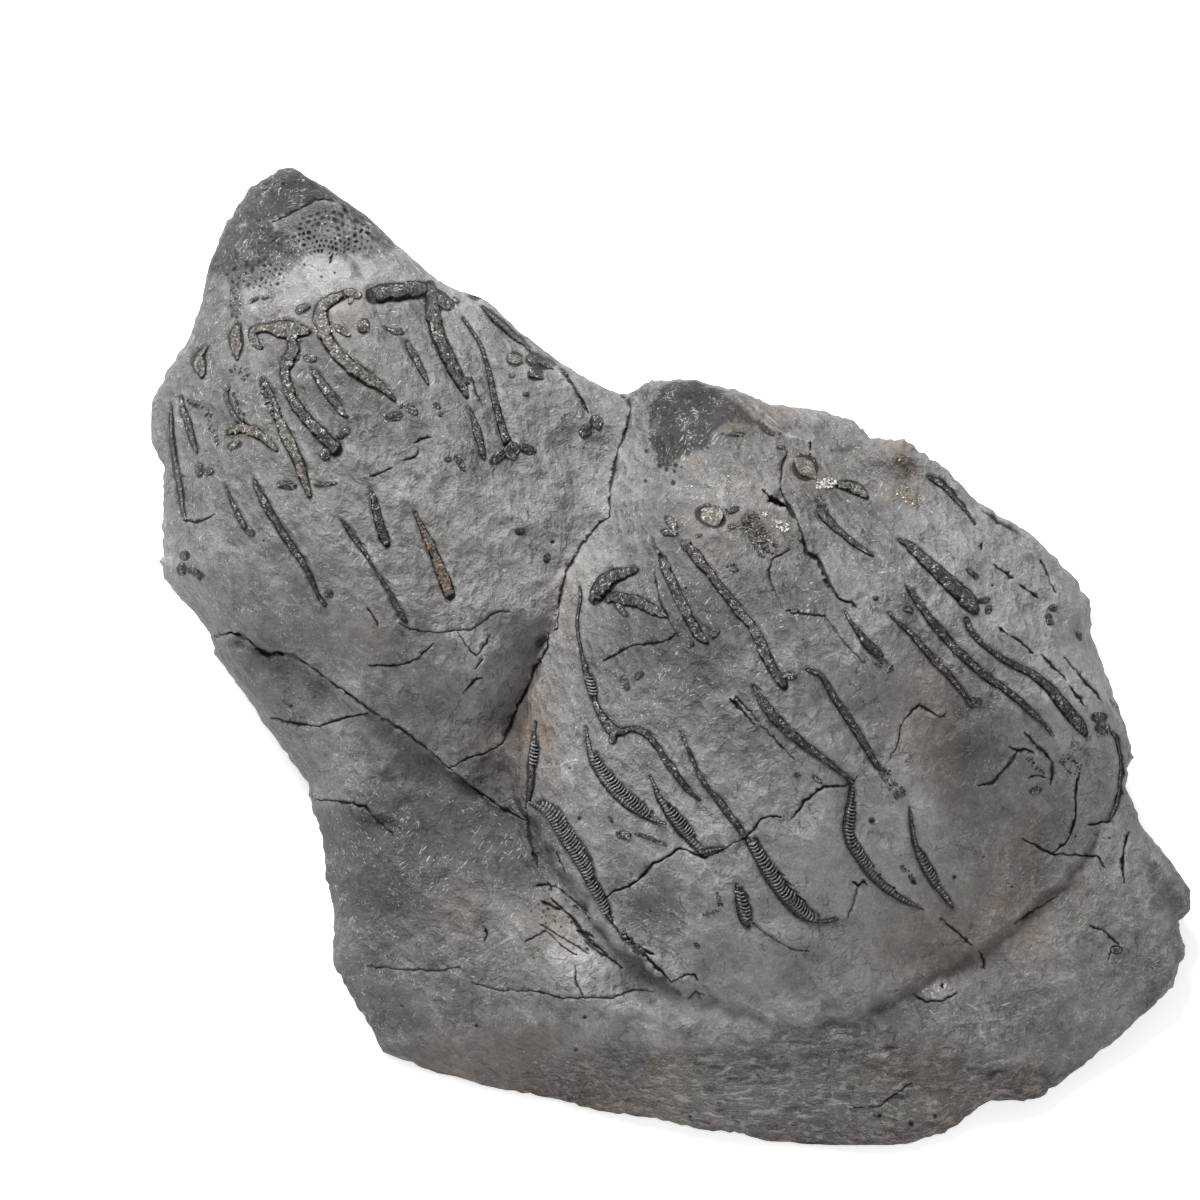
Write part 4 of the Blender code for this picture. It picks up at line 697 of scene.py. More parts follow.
OSSICLES = tuple(Ossicle(*row) for row in (
    ((-105.5, 283.7), 6, 3, -20, Look.BROWN), ((-106.2, 281.7), 3.4, 1.6, 75, Look.BROWN),
    ((-109, 271.2), 6.5, 2.2, -35, Look.BROWN), ((-114.5, 230.3), 4, 3.2, 80),
    ((-164.3, 223.1), 4.6, 0.9, 0), ((-157, 225), 4.7, 2.8, 85), ((-153.8, 224.5), 4, 2.3, -5),
    ((-127.3, 219.8), 6.6, 2.6, -8), ((-114.5, 220.3), 7.5, 1.2, 3), ((-108.5, 237), 5, 2.2, 40),
    ((-122.3, 278.8), 5.3, 3, 25, Look.BROWN), ((-119.7, 262), 4.6, 2.4, -15),
    ((-102, 272.8), 5, 3.8, 80), ((-139.8, 204.3), 3.6, 2.2, -25), ((-113.5, 183.7), 3, 2, 0),
    ((-163, 192), 4, 2.6, 80), ((-158.3, 190.8), 6, 2.2, -25), ((-162, 196.5), 3, 2.8, 0),
    ((-145, 233.3), 5, 2.6, 15, Look.BROWN), ((-76.3, 281.5), 9, 5, -35),
    ((-67.8, 254.8), 3, 2.4, 0), ((-71.3, 281.5), 2.6, 1.6, -45), ((-64.8, 282.5), 4.5, 2.4, -15),
    ((-51.8, 262), 5, 4.6, 0, Look.BROWN), ((-45.5, 261.8), 4.6, 4.4, 40),
    ((-41.5, 260.3), 6, 3.4, -5), ((-44.8, 257), 5, 4, 5), ((-52.5, 256.5), 1.6, 1.4, 0, Look.RUST),
    ((-52.8, 231.3), 6, 5.2, 60), ((-57.3, 229), 6.5, 2.8, 35), ((-47.5, 231.8), 5.5, 3, -15),
    ((-24.5, 241), 4.6, 4, -50), ((-28.2, 237.8), 4.2, 3.6, 40), ((-91.7, 242.7), 5.6, 2.8, 12),
    ((-85.7, 244.7), 4, 2.4, -35), ((-77.5, 246.2), 2.6, 1.4, -50), ((-76.5, 243.3), 1.4, 1.4, 0),
    ((-69.8, 227.2), 6, 2, -60), ((-73.8, 228.4), 2, 1.5, 0), ((-48, 250.3), 2, 1.2, 0),
    ((-139, 281.8), 3.6, 1.2, 25), ((-135, 282.6), 2.4, 0.9, 10), ((-41, 195.5), 3, 2, 70),
    ((-50, 204.5), 3, 2, 0), ((-16.2, 178.3), 6.5, 1.8, -40),
    ((0.4, 207.2), 5.6, 2.6, -45, Look.BROWN), ((-0.2, 204), 6, 2.2, -12),
    ((14.5, 170.7), 4, 2.6, 30), ((6.7, 167), 2.6, 1.6, 30), ((5.2, 200.3), 3.4, 2.6, 0),
    ((9.5, 203), 2, 1, 20), ((39.5, 156.7), 4.5, 2.6, -10), ((-15, 154), 5, 2.4, -65),
    ((-10.3, 156.7), 3.4, 2, 35), ((13.3, 209.3), 10.5, 6.4, -22, Look.SHELL),
    ((21, 211.5), 4, 1.6, 30), ((20.4, 206), 2.2, 1.6, 0), ((45, 225.8), 8.4, 8.6, 20, Look.SHELL),
    ((68.1, 182.3), 1.6, 1.2, 0), ((79, 178.5), 3, 2, 0), ((41, 177.8), 2.4, 1.2, 20),
    ((-19, 136), 4, 2.4, 75), ((-15.5, 103.8), 5, 2.6, -10), ((-19.7, 108.9), 2.2, 0.8, -55),
    ((41.9, 123.7), 2.2, 0.7, 0), ((48.7, 122.2), 4, 1.1, -40), ((102, 147.8), 3, 2.6, 0),
    ((143.1, 142.5), 5, 3, 0), ((145.8, 139), 2.4, 1.6, -60, Look.RUST), ((127.7, 179), 2.5, 2, 0),
    ((126.2, 176.1), 2, 1.6, 0), ((126.6, 174.5), 2.4, 2, 0), ((136.2, 169.5), 3, 1.4, -60),
    ((105.9, 178.5), 3, 1.8, 60), ((104, 181.5), 5, 1.6, 10), ((100.5, 190.5), 5, 1.6, -35),
    ((121.9, 118.2), 4, 2, 15, Look.BROWN), ((-10.5, 65.5), 4.6, 2.8, -50),
    ((8.9, 67), 2, 1.2, -45), ((149.3, 64.8), 3.6, 2, 10, Look.BROWN), ((33, 237.2), 3.4, 0.9, -25),
    ((22, 236.7), 6, 1, 5, Look.BROWN), ((37, 232.4), 2.6, 1.2, 5),
))


class Kind(Enum):
    """Kind of crumbs in a trail."""

    CRUMB = "dark crumbs of arm"
    CRYSTAL = "brown-grey pyrite crystals"
    WHITE = "pale crystals"


@dataclass(frozen=True)
class Trail:
    """A band of crumbs: line, width, crumbs for each millimetre, their size and kind."""

    line: Line
    width: float
    density: float
    size: float
    kind: Kind = Kind.CRUMB


TRAILS = tuple(Trail(*row) for row in (
    (((-137, 256), (-134.2, 249), (-131.5, 242)), 1.6, 2.6, 0.6),
    (((-135, 254), (-132, 248), (-129, 243)), 1.4, 2.6, 0.6),
    (((-145.8, 251), (-145, 248), (-143.3, 244.5), (-141.5, 241.5)), 1.6, 2.6, 0.55),
    (((-161.5, 249), (-157, 246), (-152, 243)), 1.6, 2.4, 0.6),
    (((-154.5, 242), (-151.5, 236), (-151.3, 233)), 1.4, 2.4, 0.55),
    (((-146.5, 260), (-143, 257), (-139, 258.5)), 3.6, 3.2, 0.55),
    (((-146, 291), (-145, 284), (-145.5, 275)), 4, 1.6, 0.45),
    (((70, 126), (73, 121.5), (77, 116.5)), 3.8, 5, 0.6), (((-17, 104), (-13, 103.6)), 2.2, 3.4, 0.6),
    (((14.8, 85.3), (16, 82.5), (16.7, 80)), 1.4, 3, 0.5),
    (((10.8, 76.7), (13.4, 78), (16.1, 78.9)), 1.4, 2.6, 0.45),
    (((41.3, 228), (43.6, 230), (47.2, 229.6), (49, 225.8)), 1.4, 1.2, 0.4),
    (((7.8, 210.5), (10.3, 213.4), (16, 212.8), (19.7, 210)), 1.4, 1.6, 0.4),
    (((24.5, 209), (28, 205.5), (31, 200.5), (33, 196.5)), 7, 9, 0.65),
    (((24.5, 209), (28, 205.5), (31, 200.5), (33, 196.5)), 7, 5, 0.65, Kind.CRYSTAL),
    (((19.3, 194), (20, 192.5), (23, 191.8)), 2.6, 4.6, 0.5),
    (((75.5, 231), (79, 227), (80.5, 224.5)), 5, 7, 0.6, Kind.CRYSTAL),
    (((76.5, 219.5), (80, 216), (83.5, 213)), 5, 7, 0.6, Kind.CRYSTAL),
    (((132.5, 133), (137, 130.6), (141, 127.8)), 5, 5, 0.6, Kind.CRYSTAL),
    (((130, 129), (137, 125)), 5, 3, 0.5),
    (((141.5, 140), (144, 138.5), (146, 136.8)), 2.8, 5, 0.6),
    (((68.5, 162), (74, 158)), 3.4, 4, 0.5), (((76.4, 93.7), (79.5, 90.3), (82, 87)), 1.8, 2.6, 0.5),
    (((118.7, 129.4), (122, 126.2), (125, 123.5)), 1.6, 2.4, 0.5),
    (((-16.5, 71.5), (-12.5, 67.5), (-9, 63.5)), 2.4, 3, 0.55),
    (((-48, 80), (-36.5, 73.5), (-25, 65.5)), 6, 0.6, 0.5),
    (((-38, 85), (-30, 79), (-24, 72)), 4, 0.7, 0.5),
    (((-37, 259), (-32.5, 253.5), (-27.5, 244.5)), 1.2, 1.8, 0.5),
    (((-127, 270.5), (-125, 267), (-125.5, 262)), 4.4, 3, 0.7, Kind.CRYSTAL),
    (((-117, 274), (-115.5, 270)), 4, 3.6, 0.6, Kind.CRYSTAL),
    (((-147, 236.8), (-138, 238), (-132, 233)), 2.6, 2.4, 0.6, Kind.CRYSTAL),
    (((48.5, 220.5), (51.5, 220.2), (55, 222)), 3.2, 6, 0.75, Kind.WHITE),
    (((33.5, 207), (37, 206.5), (39, 204.5)), 3, 4, 0.65, Kind.WHITE),
    (((30, 210), (33, 210.5)), 1.4, 4, 0.55, Kind.WHITE),
    (((90, 190), (92.5, 188), (95, 185.8)), 1.4, 3, 0.5, Kind.WHITE),
    (((4.5, 217), (11, 218), (17, 218.5), (21, 221.5)), 5, 1.6, 0.4, Kind.WHITE),
    (((-15, 210), (-9, 212)), 3.6, 1.2, 0.4, Kind.WHITE),
    (((84, 52), (92, 51)), 5, 2.4, 0.6, Kind.WHITE),
    (((-128, 273), (-124.5, 272)), 3, 2.4, 0.5, Kind.WHITE),
    (((-115, 274.5), (-112.5, 270.5)), 1.8, 2.4, 0.5, Kind.WHITE),
    (((49, 217), (52, 211)), 4.4, 2.6, 0.45), (((48, 212), (52, 210.5)), 2, 2.6, 0.5, Kind.CRYSTAL),
    (((-92, 245.5), (-85, 247)), 1.4, 1.2, 0.4),
))


# Small pits and dots: across, up, radius.
PITS = (
    (-135.3, 201.4, 0.5), (-33.3, 125.8, 0.5), (-6.5, 78.4, 0.5), (107.3, 186.5, 0.5), (96.9, 187.1, 0.5),
    (-30.1, 109.1, 0.8), (67, 108.3, 1.3), (-116.2, 289.5, 0.5), (-122, 293.6, 0.5), (-28.3, 42.8, 0.8),
    (-31.3, 31.8, 0.8), (-64.5, 39.6, 0.7), (-89.5, 46, 0.5), (146.9, 102.2, 0.5), (135.5, 102.7, 0.5),
    (91, 53, 0.9), (5.2, 185.5, 0.5), (-7.9, 231.2, 0.8), (1.8, 226.5, 0.9), (-3.5, 226.3, 1),
    (1.4, 224.4, 0.6), (1, 220.6, 1), (-8.2, 221.3, 0.7), (-1.2, 225, 0.8), (3.8, 225.8, 0.4),
    (17.5, 237, 0.6), (-111.7, 290.8, 0.5), (94.7, 89.4, 0.8), (80.8, 88, 0.9), (79.6, 89.6, 0.6),
    (69.8, 90.5, 0.5), (74.5, 86, 0.6), (104.5, 96, 0.4), (-126.5, 146.3, 0.7), (-39, 201, 0.8),
    (6.8, 9.3, 0.7), (70, 9.5, 0.8), (80.5, 7, 0.9), (88.5, 9.5, 0.8), (114, 86, 0.5),
)

# Steps of the face: line, drop and reach on its right-hand side.
STEPS = (
    (LEDGE_LINE, 5.5, 15),
    (CROWN_SIDE_LINE, 9, 13),
    (CROWN_FOOT_LINE, 2.7, 11),
    (SLAB_LEDGE_LINE, 2, 12),
)


@dataclass(frozen=True)
class Cap:
    """A dark weathered part of the face: its outline, depth of colour and beads.

    Attributes:
        shape: the outline.
        strength: how dark it is, from 0 to 1.
        beads: height of the rounded beads along its edge, in millimetres.
    """

    shape: Line
    strength: float
    beads: float = 0.0


CAPS = tuple(Cap(*row) for row in (
    (((-3, 252.5), (4, 254.5), (12, 253), (20, 249), (25, 245), (30, 241), (37, 236.8), (32, 237),
     (28, 239.5), (24, 240.5), (19, 240.5), (15.5, 238.2), (13.5, 235.5), (12.5, 232), (8, 231),
     (5, 229.3), (2, 228), (-1, 225.5), (-4, 227.5), (-6, 231), (-7, 236), (-7.6, 241), (-6.2, 247)),
     1, 0.7),
    (((-152, 305), (-149, 311), (-142, 321), (-132, 327), (-121, 326), (-110, 323), (-101, 316),
     (-93, 307), (-87, 298.5), (-97, 299.5), (-101, 303.5), (-105, 308), (-110, 313.2), (-117, 315.5),
     (-124, 312.5), (-132, 308.5), (-140, 307)), 0.95),
    (((-157, 297), (-152, 305), (-141, 308), (-134, 308), (-127, 303.5), (-122, 298), (-128, 296),
     (-134, 293), (-143, 291.5), (-158, 289)), 0.95),
    (((-132, 308), (-124, 312), (-117, 315), (-106, 310), (-98, 302.5), (-92.5, 297), (-98, 295.5),
     (-106, 296.5), (-114, 298), (-122, 296.5), (-128, 297)), 0.55),
    (((-150, 297), (-140, 300), (-130, 299), (-122, 298), (-125, 292.5), (-130, 289.5), (-137, 287),
     (-143, 286), (-149, 287.5)), 0.65, 0.7),
    (((-158, 291), (-148, 291), (-149.5, 280), (-153, 262), (-160, 262)), 0.5, 0.5),
    (((-148, 292), (-142.5, 292), (-142.8, 284), (-143.5, 275.5), (-147.3, 275.5), (-147.8, 284)), 0.7),
    (((-118, 314), (-109, 313), (-107, 309), (-113, 309.8), (-118, 310.5)), 0.75),
    (((-110, 301), (-106, 297), (-103.5, 293), (-102.5, 289.5), (-106.5, 289.5), (-107, 294),
     (-111, 297)), 0.6),
    (((50, 230.8), (56, 231), (63.5, 230.3), (63.5, 234.2), (56, 233)), 0.7),
    (((34, 218), (36.6, 218.6), (38.4, 213.5), (34.8, 213.8), (31.5, 216.8)), 0.75),
    (((22.5, 206.7), (25.7, 212.6), (27.9, 211.5), (29.5, 207.8), (33.2, 204.1), (32.1, 201.4),
     (30.5, 198.7), (34.3, 195.5), (31.1, 196), (27.3, 200.9)), 0.7, 0.5),
    (((-45.8, 169.5), (-41.5, 169), (-41.3, 165), (-45, 164.8)), 0.8),
    (((157.5, 95), (162, 95.5), (168, 88), (171.5, 79), (166, 77), (160, 87)), 0.45),
))

# Patches of painted light and shade, partly real weathering too: across, up,
# half widths across and up, and how much paler (above zero) or darker (below
# zero) they are.
LIGHT_SHADE_AND_WEAR_PATCHES = (
    (-112, 285, 26, 9, 0.55), (-113, 293, 14, 4, 0.35), (-28, 228, 10, 14, 0.4), (108, 178, 32, 28, 0.35),
    (-31, 62, 12, 8, 1), (17, 218, 14, 4, 0.3), (71, 56, 12, 5, 0.5), (89, 51.5, 6, 3, 1),
    (-6.5, 97, 4, 4, 0.6), (66, 172, 5, 7, 0.6), (134, 66, 14, 7, 0.35), (-27, 78, 8, 8, 0.5),
    (30, 226, 18, 8, 0.15), (150, 100, 5, 18, 0.35), (-90, 102, 32, 22, -1.05), (-160, 240, 14, 50, -0.5),
    (-114, 254, 34, 20, -0.75), (-142, 238, 10, 12, -0.4), (-84, 238, 8, 9, -0.4),
    (-62, 158, 15, 14, 1.2), (-58, 195, 26, 20, 0.8), (-43, 239, 8, 8, 0.35), (-73, 138, 12, 8, 0.6),
    (0, 166, 28, 30, -1), (42, 178, 16, 14, -0.75), (67, 208, 20, 24, -0.6), (135, 143, 12, 26, 0.95),
    (97, 200, 10, 10, 0.45), (57, 157, 10, 10, 0.6), (50, 93, 44, 36, 0.8), (10, 115, 14, 12, 0.6),
    (80, 112, 11, 28, 0.6), (0, 57, 26, 10, 0.4), (175, 78, 8, 12, -0.5), (22, 38, 26, 12, 0.5),
    (45, 14, 60, 11, 0.8), (119, 16, 10, 10, -0.3), (-50, 97, 18, 15, -1.1), (-72, 110, 20, 12, -0.3),
    (-136, 160, 20, 24, -0.7), (-101, 72, 18, 32, -0.75), (-82, 52, 26, 18, -0.25),
    (-95, 40, 30, 12, -0.4), (-40, 26, 40, 10, -0.25), (118, 92, 16, 10, -0.5), (99, 132, 12, 20, -0.85),
    (8, 172, 16, 14, -0.4), (-4, 89, 8, 14, -0.6), (75, 47, 26, 6, -0.4), (88, 61, 18, 7, -0.35),
    (126, 106, 8, 7, -0.4), (128, 114, 8, 7, -0.25), (-118, 236, 9, 16, -0.25), (-147, 214, 14, 14, -0.2),
    (-3, 205, 10, 16, -0.5), (20, 200, 6, 4, -0.15), (-60, 58, 14, 4, -0.5), (14, 237, 22, 12, -0.75),
    (-120, 318, 20, 8, -0.3), (58, 240, 14, 5, -0.35), (-30, 137, 12, 8, -0.35), (-43, 68, 6, 14, -0.35),
)

# Fields of pits: middle across and up, half widths across and up, strength.
PIT_FIELDS = (
    (-112, 304.5, 15, 8.5, 1), (-122, 300, 7, 6, 0.55), (-138, 290.5, 12, 6, 0.9),
    (-134, 301, 8, 6, 0.5), (-133, 320.5, 6, 3, 0.7), (-101, 303, 6, 6, 0.6),
)

# Brown clay stains: across, up, half widths across and up, strength.
STAINS = (
    (-103.5, 168.5, 22, 14, 0.4), (-60, 145, 18, 16, 0.7), (-35, 186, 10, 24, 0.45),
    (-46, 135, 8, 22, 0.9), (86, 138, 15, 28, 0.8), (98, 70, 45, 16, 0.85), (81, 14, 36, 12, 1),
    (-73, 28, 32, 9, 0.7), (25, 14, 60, 9, 0.6), (120, 100, 24, 22, 0.5), (-38, 66, 18, 9, 0.35),
    (2, 170, 22, 20, 0.3), (30, 242, 14, 8, 0.5), (-130, 150, 16, 14, 0.3), (40, 205, 18, 14, 0.35),
    (60, 95, 16, 14, 0.25), (10, 52, 20, 8, 0.5), (-68, 78, 14, 12, 0.6), (-116, 276, 6, 6, 0.3),
    (22, 243, 6, 4, 1), (8, 200, 16, 9, 0.5), (-105, 277, 5, 6, 0.4), (-44, 36, 10, 4, 0.8),
    (-15, 15, 22, 4, 0.7), (78, 228, 5, 6, 0.8), (79, 216, 6, 5, 0.7), (10, 224, 30, 14, 0.3),
    (60, 226, 24, 14, 0.3), (-118, 312, 16, 8, 0.4), (-112, 262, 34, 20, 0.2), (-88, 236, 12, 8, 0.3),
    (-40, 77, 10, 6, 0.5), (-23, 68, 10, 5, 0.5),
)


class Face:
    """Relief of the fossil face, as a function of across and up.

    The broad forms are the same as those of the solid block. The fine relief
    adds cracks, hollows round the arms, flutes, pits and broken layers.
    """

    STEP_SLOPE = 1.5
    SEAM_DEPTH = 4.0
    SEAM_WIDTH = 5.0
    EDGE_WIDTH = 15.0
    RIM_FADE = 12.0
    LUMP_HEIGHT = 1.3
    LUMP_SIZE = 24.0
    RAGGED_RIM = 0.7
    FLUTE_HEIGHT = 0.7
    DENT_HEIGHT = 0.7
    # Size and depth of the scooped facets.
    SCOOPS = ((21.0, 2.4), (9.5, 1.25))
    CROWN_TURN = math.radians(-57.0)
    # Rows of pits on the left crown: their middle, the spacing of the rows and
    # of the pits in a row, and the radius at which that spacing holds.
    PIT_MIDDLE = (-116.0, 286.0)
    PIT_ROWS = 1.9
    PIT_STEP = 2.0
    PIT_RADIUS = 19.0
    # Tints the mesh carries. The dark tint is painted shade in cracks, pits, seats and beds; the pale and
    # shade tints add painted light and shade beside the stone's own colour.
    TINTS = ("dark", "pale", "stain", "cap", "rough", "shade")

    def __init__(self) -> None:
        rim = np.array(RIM, float)
        tops = rim_lift(rim[:, 1], rim[:, 2]) + self.edge_drop(rim[:, 2])
        knots = np.vstack([np.array(HEIGHTS, float), np.column_stack([rim[:, :2], tops])])
        self.knots = knots[:, :2] / 100.0
        count = len(knots)
        system = np.zeros((count + 3, count + 3))
        system[:count, :count] = self.kernel(self.knots) + 2e-4 * np.eye(count)
        system[:count, count] = 1.0
        system[:count, count + 1:] = self.knots
        system[count, :count] = 1.0
        system[count + 1:, :count] = self.knots.T
        self.weights = np.linalg.solve(system, np.concatenate([knots[:, 2], np.zeros(3)]))

    @staticmethod
    def edge_drop(height: Array) -> Array:
        """How far the rounded edge falls from the face to rim points."""
        return np.minimum(13.0, 1.5 + 0.28 * height)

    def kernel(self, points: Array) -> Array:
        """Thin-plate kernel between points and the height points."""
        gap = points[:, None, :] - self.knots[None, :, :]
        square = (gap ** 2).sum(axis=2) + 1e-9
        return 0.5 * square * np.log(square)

    def rim_reach(self, points: Array) -> tuple[Array, Array]:
        """Distance of points to the rim, and the height of the rim there."""
        best = np.full(len(points), 1e9)
        height = np.zeros(len(points))
        for first, second in zip(RIM, RIM[1:] + RIM[:1]):
            a = np.array(first[:2], float)
            along = np.array(second[:2], float) - a
            reach, at = leg_reach(points, a, along)
            closer = reach < best
            best[closer] = reach[closer]
            height[closer] = (first[2] + at * (second[2] - first[2]))[closer]
        return best, height

    def broad(self, points: Array) -> Array:
        """Lift of the broad forms at each (across, up)."""
        scaled = points / 100.0
        count = len(self.knots)
        smooth = np.empty(len(points))
        for low in range(0, len(points), 8000):
            part = scaled[low:low + 8000]
            smooth[low:low + 8000] = (self.kernel(part) @ self.weights[:count]
                                      + self.weights[count] + part @ self.weights[count + 1:])
        inside, height = self.rim_reach(points)
        share = 1.0 - clamp(inside / self.EDGE_WIDTH)
        fall = self.edge_drop(height) * (1.0 - np.sqrt(1.0 - share ** 2))
        fade = clamp(inside / self.RIM_FADE)
        reach, _, _ = line_reach(points, SEAM_LINE)
        carved = self.SEAM_DEPTH * bell(reach, self.SEAM_WIDTH)
        bent = points + 2.2 * drift(points, 7.0, 72.0, 2)
        for line, drop, run in STEPS:
            reach, side, _ = line_reach(bent, line)
            onset = clamp(-side * reach / self.STEP_SLOPE)
            carved += drop * onset * bell(reach, run)
        lumps = sway(points, self.LUMP_SIZE, 3.7)
        return smooth - fall + fade * (self.LUMP_HEIGHT * lumps - carved)

    def waves(self, points: Array) -> Array:
        """Lift of the middle forms: flutes along the crowns and scooped facets."""
        cos, sin = math.cos(self.CROWN_TURN), math.sin(self.CROWN_TURN)
        grain = points @ np.array([[cos, -sin], [sin, cos]])
        lift = self.FLUTE_HEIGHT * sway(grain / (4.5, 1.0), 8.0, 11.0, 2)
        lift += self.DENT_HEIGHT * sway(points, 7.0, 5.0, 2)
        bent = grain + 4.0 * drift(grain, 15.0, 13.0)
        for size, depth in self.SCOOPS:
            lift += depth * (scoops(bent / (1.7, 1.0), size, 2.0 * size) - 0.45)
        reach, _ = self.rim_reach(points)
        return (np.where(lift > 0.0, 0.7 * lift, lift) - 0.3) * clamp(reach / 3.0)

    def ground(self, points: Array, reach: float = 1.5) -> tuple[Array, Array]:
        """Lift and two slopes of the face without its finest relief."""
        spots = np.vstack([points, points + (reach, 0), points + (0, reach)])
        lift, right, back = np.split(self.broad(spots) + self.waves(spots), 3)
        return lift, np.column_stack([right - lift, back - lift]) / reach

    @staticmethod
    def front_band(points: Array) -> Array:
        """Share of the broken front edge of the slab, from 0 to 1."""
        top = 42.0 - 0.0016 * (points[:, 0] - 40.0) ** 2 + 7.0 * sway(points, 13.0, 35.0, 2)
        return clamp((top - points[:, 1]) / 9.0)

    def fine(self, points: Array) -> tuple[Array, dict[str, Array]]:
        """Fine relief of the mudstone.

        Args:
            points: rows of (across, up).

        Returns:
            The lift to add, and the tints that follow it, by name: one value
            for each point.
        """
        count = len(points)
        lift = np.zeros(count)
        tint = {name: np.zeros(count) for name in self.TINTS}
        waves = self.waves(points)
        rough = sway(points, 3.4, 6.0, 4)
        lift += waves + 0.2 * rough
        # Crests painted paler and hollows darker along the relief: painted light and shade, partly wear.
        tint["pale"] += np.clip(0.16 * waves + 0.25 * rough, -0.6, 0.8)
        self.cut_band(points, lift, tint)
        wiggle = drift(points, 2.2, 21.0, 2)
        for crack in CRACKS:
            self.cut_crack(points, wiggle, crack, lift, tint)
        for arm in LEFT_ARMS + RIGHT_ARMS:
            self.bed_arm(points, arm, lift, tint)
        for ossicle in OSSICLES:
            self.bed_ossicle(points, ossicle, tint)
        for comb in COMBS:
            self.seat_comb(points, comb, tint)
        self.drill_pits(points, lift, tint)
        self.dress_caps(points, lift, tint)
        # Stains are the stone's own colour; the other patches are painted light and shade, partly
        # weathering.
        for patches, name in ((STAINS, "stain"), (LIGHT_SHADE_AND_WEAR_PATCHES, "shade")):
            for across, up, wide, high, strength in patches:
                tint[name] += strength * np.exp(-oval(points, across, up, wide, high))
        return lift, tint

    def cut_band(self, points: Array, lift: Array, tint: dict) -> None:
        """Break the front edge of the slab into thin rough layers."""
        share = self.front_band(points)
        rows = np.nonzero(share > 0.0)[0]
        spots = points[rows]
        layers = sway(spots / (5.0, 1.0), 3.2, 31.0, 3)
        chips = sway(spots / (1.6, 1.0), 5.0, 33.0, 3)
        broken = 1.2 * layers - 1.5 * np.clip(chips - 0.05, 0.0, 0.6)
        lift[rows] += share[rows] * broken
        tint["rough"][rows] = share[rows]
        # Raised layers are tinted paler; the lowest get the dark tint as painted shade.
        tint["pale"][rows] += share[rows] * (0.5 * layers - 0.25)
        tint["dark"][rows] += share[rows] * np.clip(-layers * 0.9 - 0.35, 0.0, 0.4)

    @staticmethod
    def cut_crack(points: Array, wiggle: Array, crack: Crack, lift: Array, tint: dict) -> None:
        """Cut one crack, or raise one vein, with uneven edges."""
        rows = near_line(points, crack.line, 4.0)
        reach, side, along = line_reach(points[rows] + 0.45 * wiggle[rows], crack.line)
        ends = np.clip(np.minimum(along, 1.0 - along) * 6.0, 0.15, 1.0)
        swell = sway(points[rows], 8.0, 71.0, 2)
        half = 0.42 * crack.width * ends * np.clip(
            1.0 + 1.5 * swell + 0.8 * wiggle[rows, 0], 0.25, 2.2)
        share = clamp(1.2 - reach / (half + 0.18))
        lift[rows] -= crack.depth * share
        if crack.dark < 0.0:
            tint["pale"][rows] += -1.6 * crack.dark * share
            return
        lift[rows] += 0.2 * (side > 0) * bell(reach, 1.6)
        # The dark inside the crack is painted shade.
        dark = crack.dark * share * np.clip(0.85 + 0.9 * swell, 0.45, 1.0)
        raise_to(tint["dark"], rows, dark)
        halo = bell(reach - half - 0.8, 0.6)
        tint["pale"][rows] += 0.4 * halo * np.clip(0.5 + wiggle[rows, 1], 0.0, 1.2)

    @staticmethod
    def bed_arm(points: Array, arm: ArmSection, lift: Array, tint: dict) -> None:
        """Hollow the mudstone under and round one arm section, with painted shade along its edge and on
        its right-hand side.
        """
        rows, gap, side = arm.edge_gap(points)
        out = np.clip(gap, 0.0, None)
        lift[rows] -= 0.5 * bell(out, 2.4) * np.where(side > 0, 0.6, 1.3)
        lift[rows] -= 0.45 * bell(gap - 0.15, 0.4)
        lift[rows] -= 0.7 * clamp(-gap / 0.5)
        lifted = sway(points[rows], 4.0, 61.0)
        rim = np.clip(0.45 + 1.1 * lifted, 0.0, 0.9) * bell(gap - 0.05, 0.25)
        # A dark rim along the arm's edge, and full dark under it: painted contact shade.
        raise_to(tint["dark"], rows, np.where(gap < 0, 1.0, rim))
        tint["pale"][rows] += 0.45 * bell(gap - 1.3, 0.7) * (0.7 - lifted)
        # Painted shadow beside the arm, on its right-hand side.
        tint["shade"][rows] -= 0.25 * bell(out, 4.0) * (side < 0)

    @staticmethod
    def bed_ossicle(points: Array, ossicle: Ossicle, tint: dict) -> None:
        """Paint a dark seat round one loose ossicle: painted contact shade."""
        rows = near_line(points, (ossicle.place,) * 2, 7.0)
        turn = math.radians(ossicle.turn)
        gap = points[rows] - np.array(ossicle.place)
        ahead = gap @ (math.cos(turn), math.sin(turn)) / (0.5 * ossicle.length + 0.25)
        across = gap @ (-math.sin(turn), math.cos(turn)) / (0.5 * ossicle.width + 0.25)
        reach = (np.hypot(ahead, across) - 1.0) * (0.5 * min(ossicle.width, ossicle.length) + 0.25)
        share = clamp((0.2 - reach) / 0.3)
        raise_to(tint["dark"], rows, 0.85 * share)

    @staticmethod
    def seat_comb(points: Array, comb: "Comb", tint: dict) -> None:
        """Darken the bed of one row of pinnules: painted shade under and between them."""
        spots = smooth_line(comb.line, 2.0)
        middle = []
        for before, spot, after in zip(spots[:1] + spots, spots, spots[1:] + spots[-1:]):
            along = (after - before).normalized()
            middle.append(tuple(spot + left_of(along) * (0.5 * comb.length - 0.4)))
        rows = near_line(points, tuple(middle), comb.length + 1.0)
        reach, _, along = line_reach(points[rows], tuple(middle))
        half = (0.5 * comb.length + 0.4) * np.clip(6.0 * np.minimum(along, 1.0 - along), 0.5, 1.0)
        share = 0.8 * clamp((half - reach) / 0.5 + 0.5)
        raise_to(tint["dark"], rows, share)

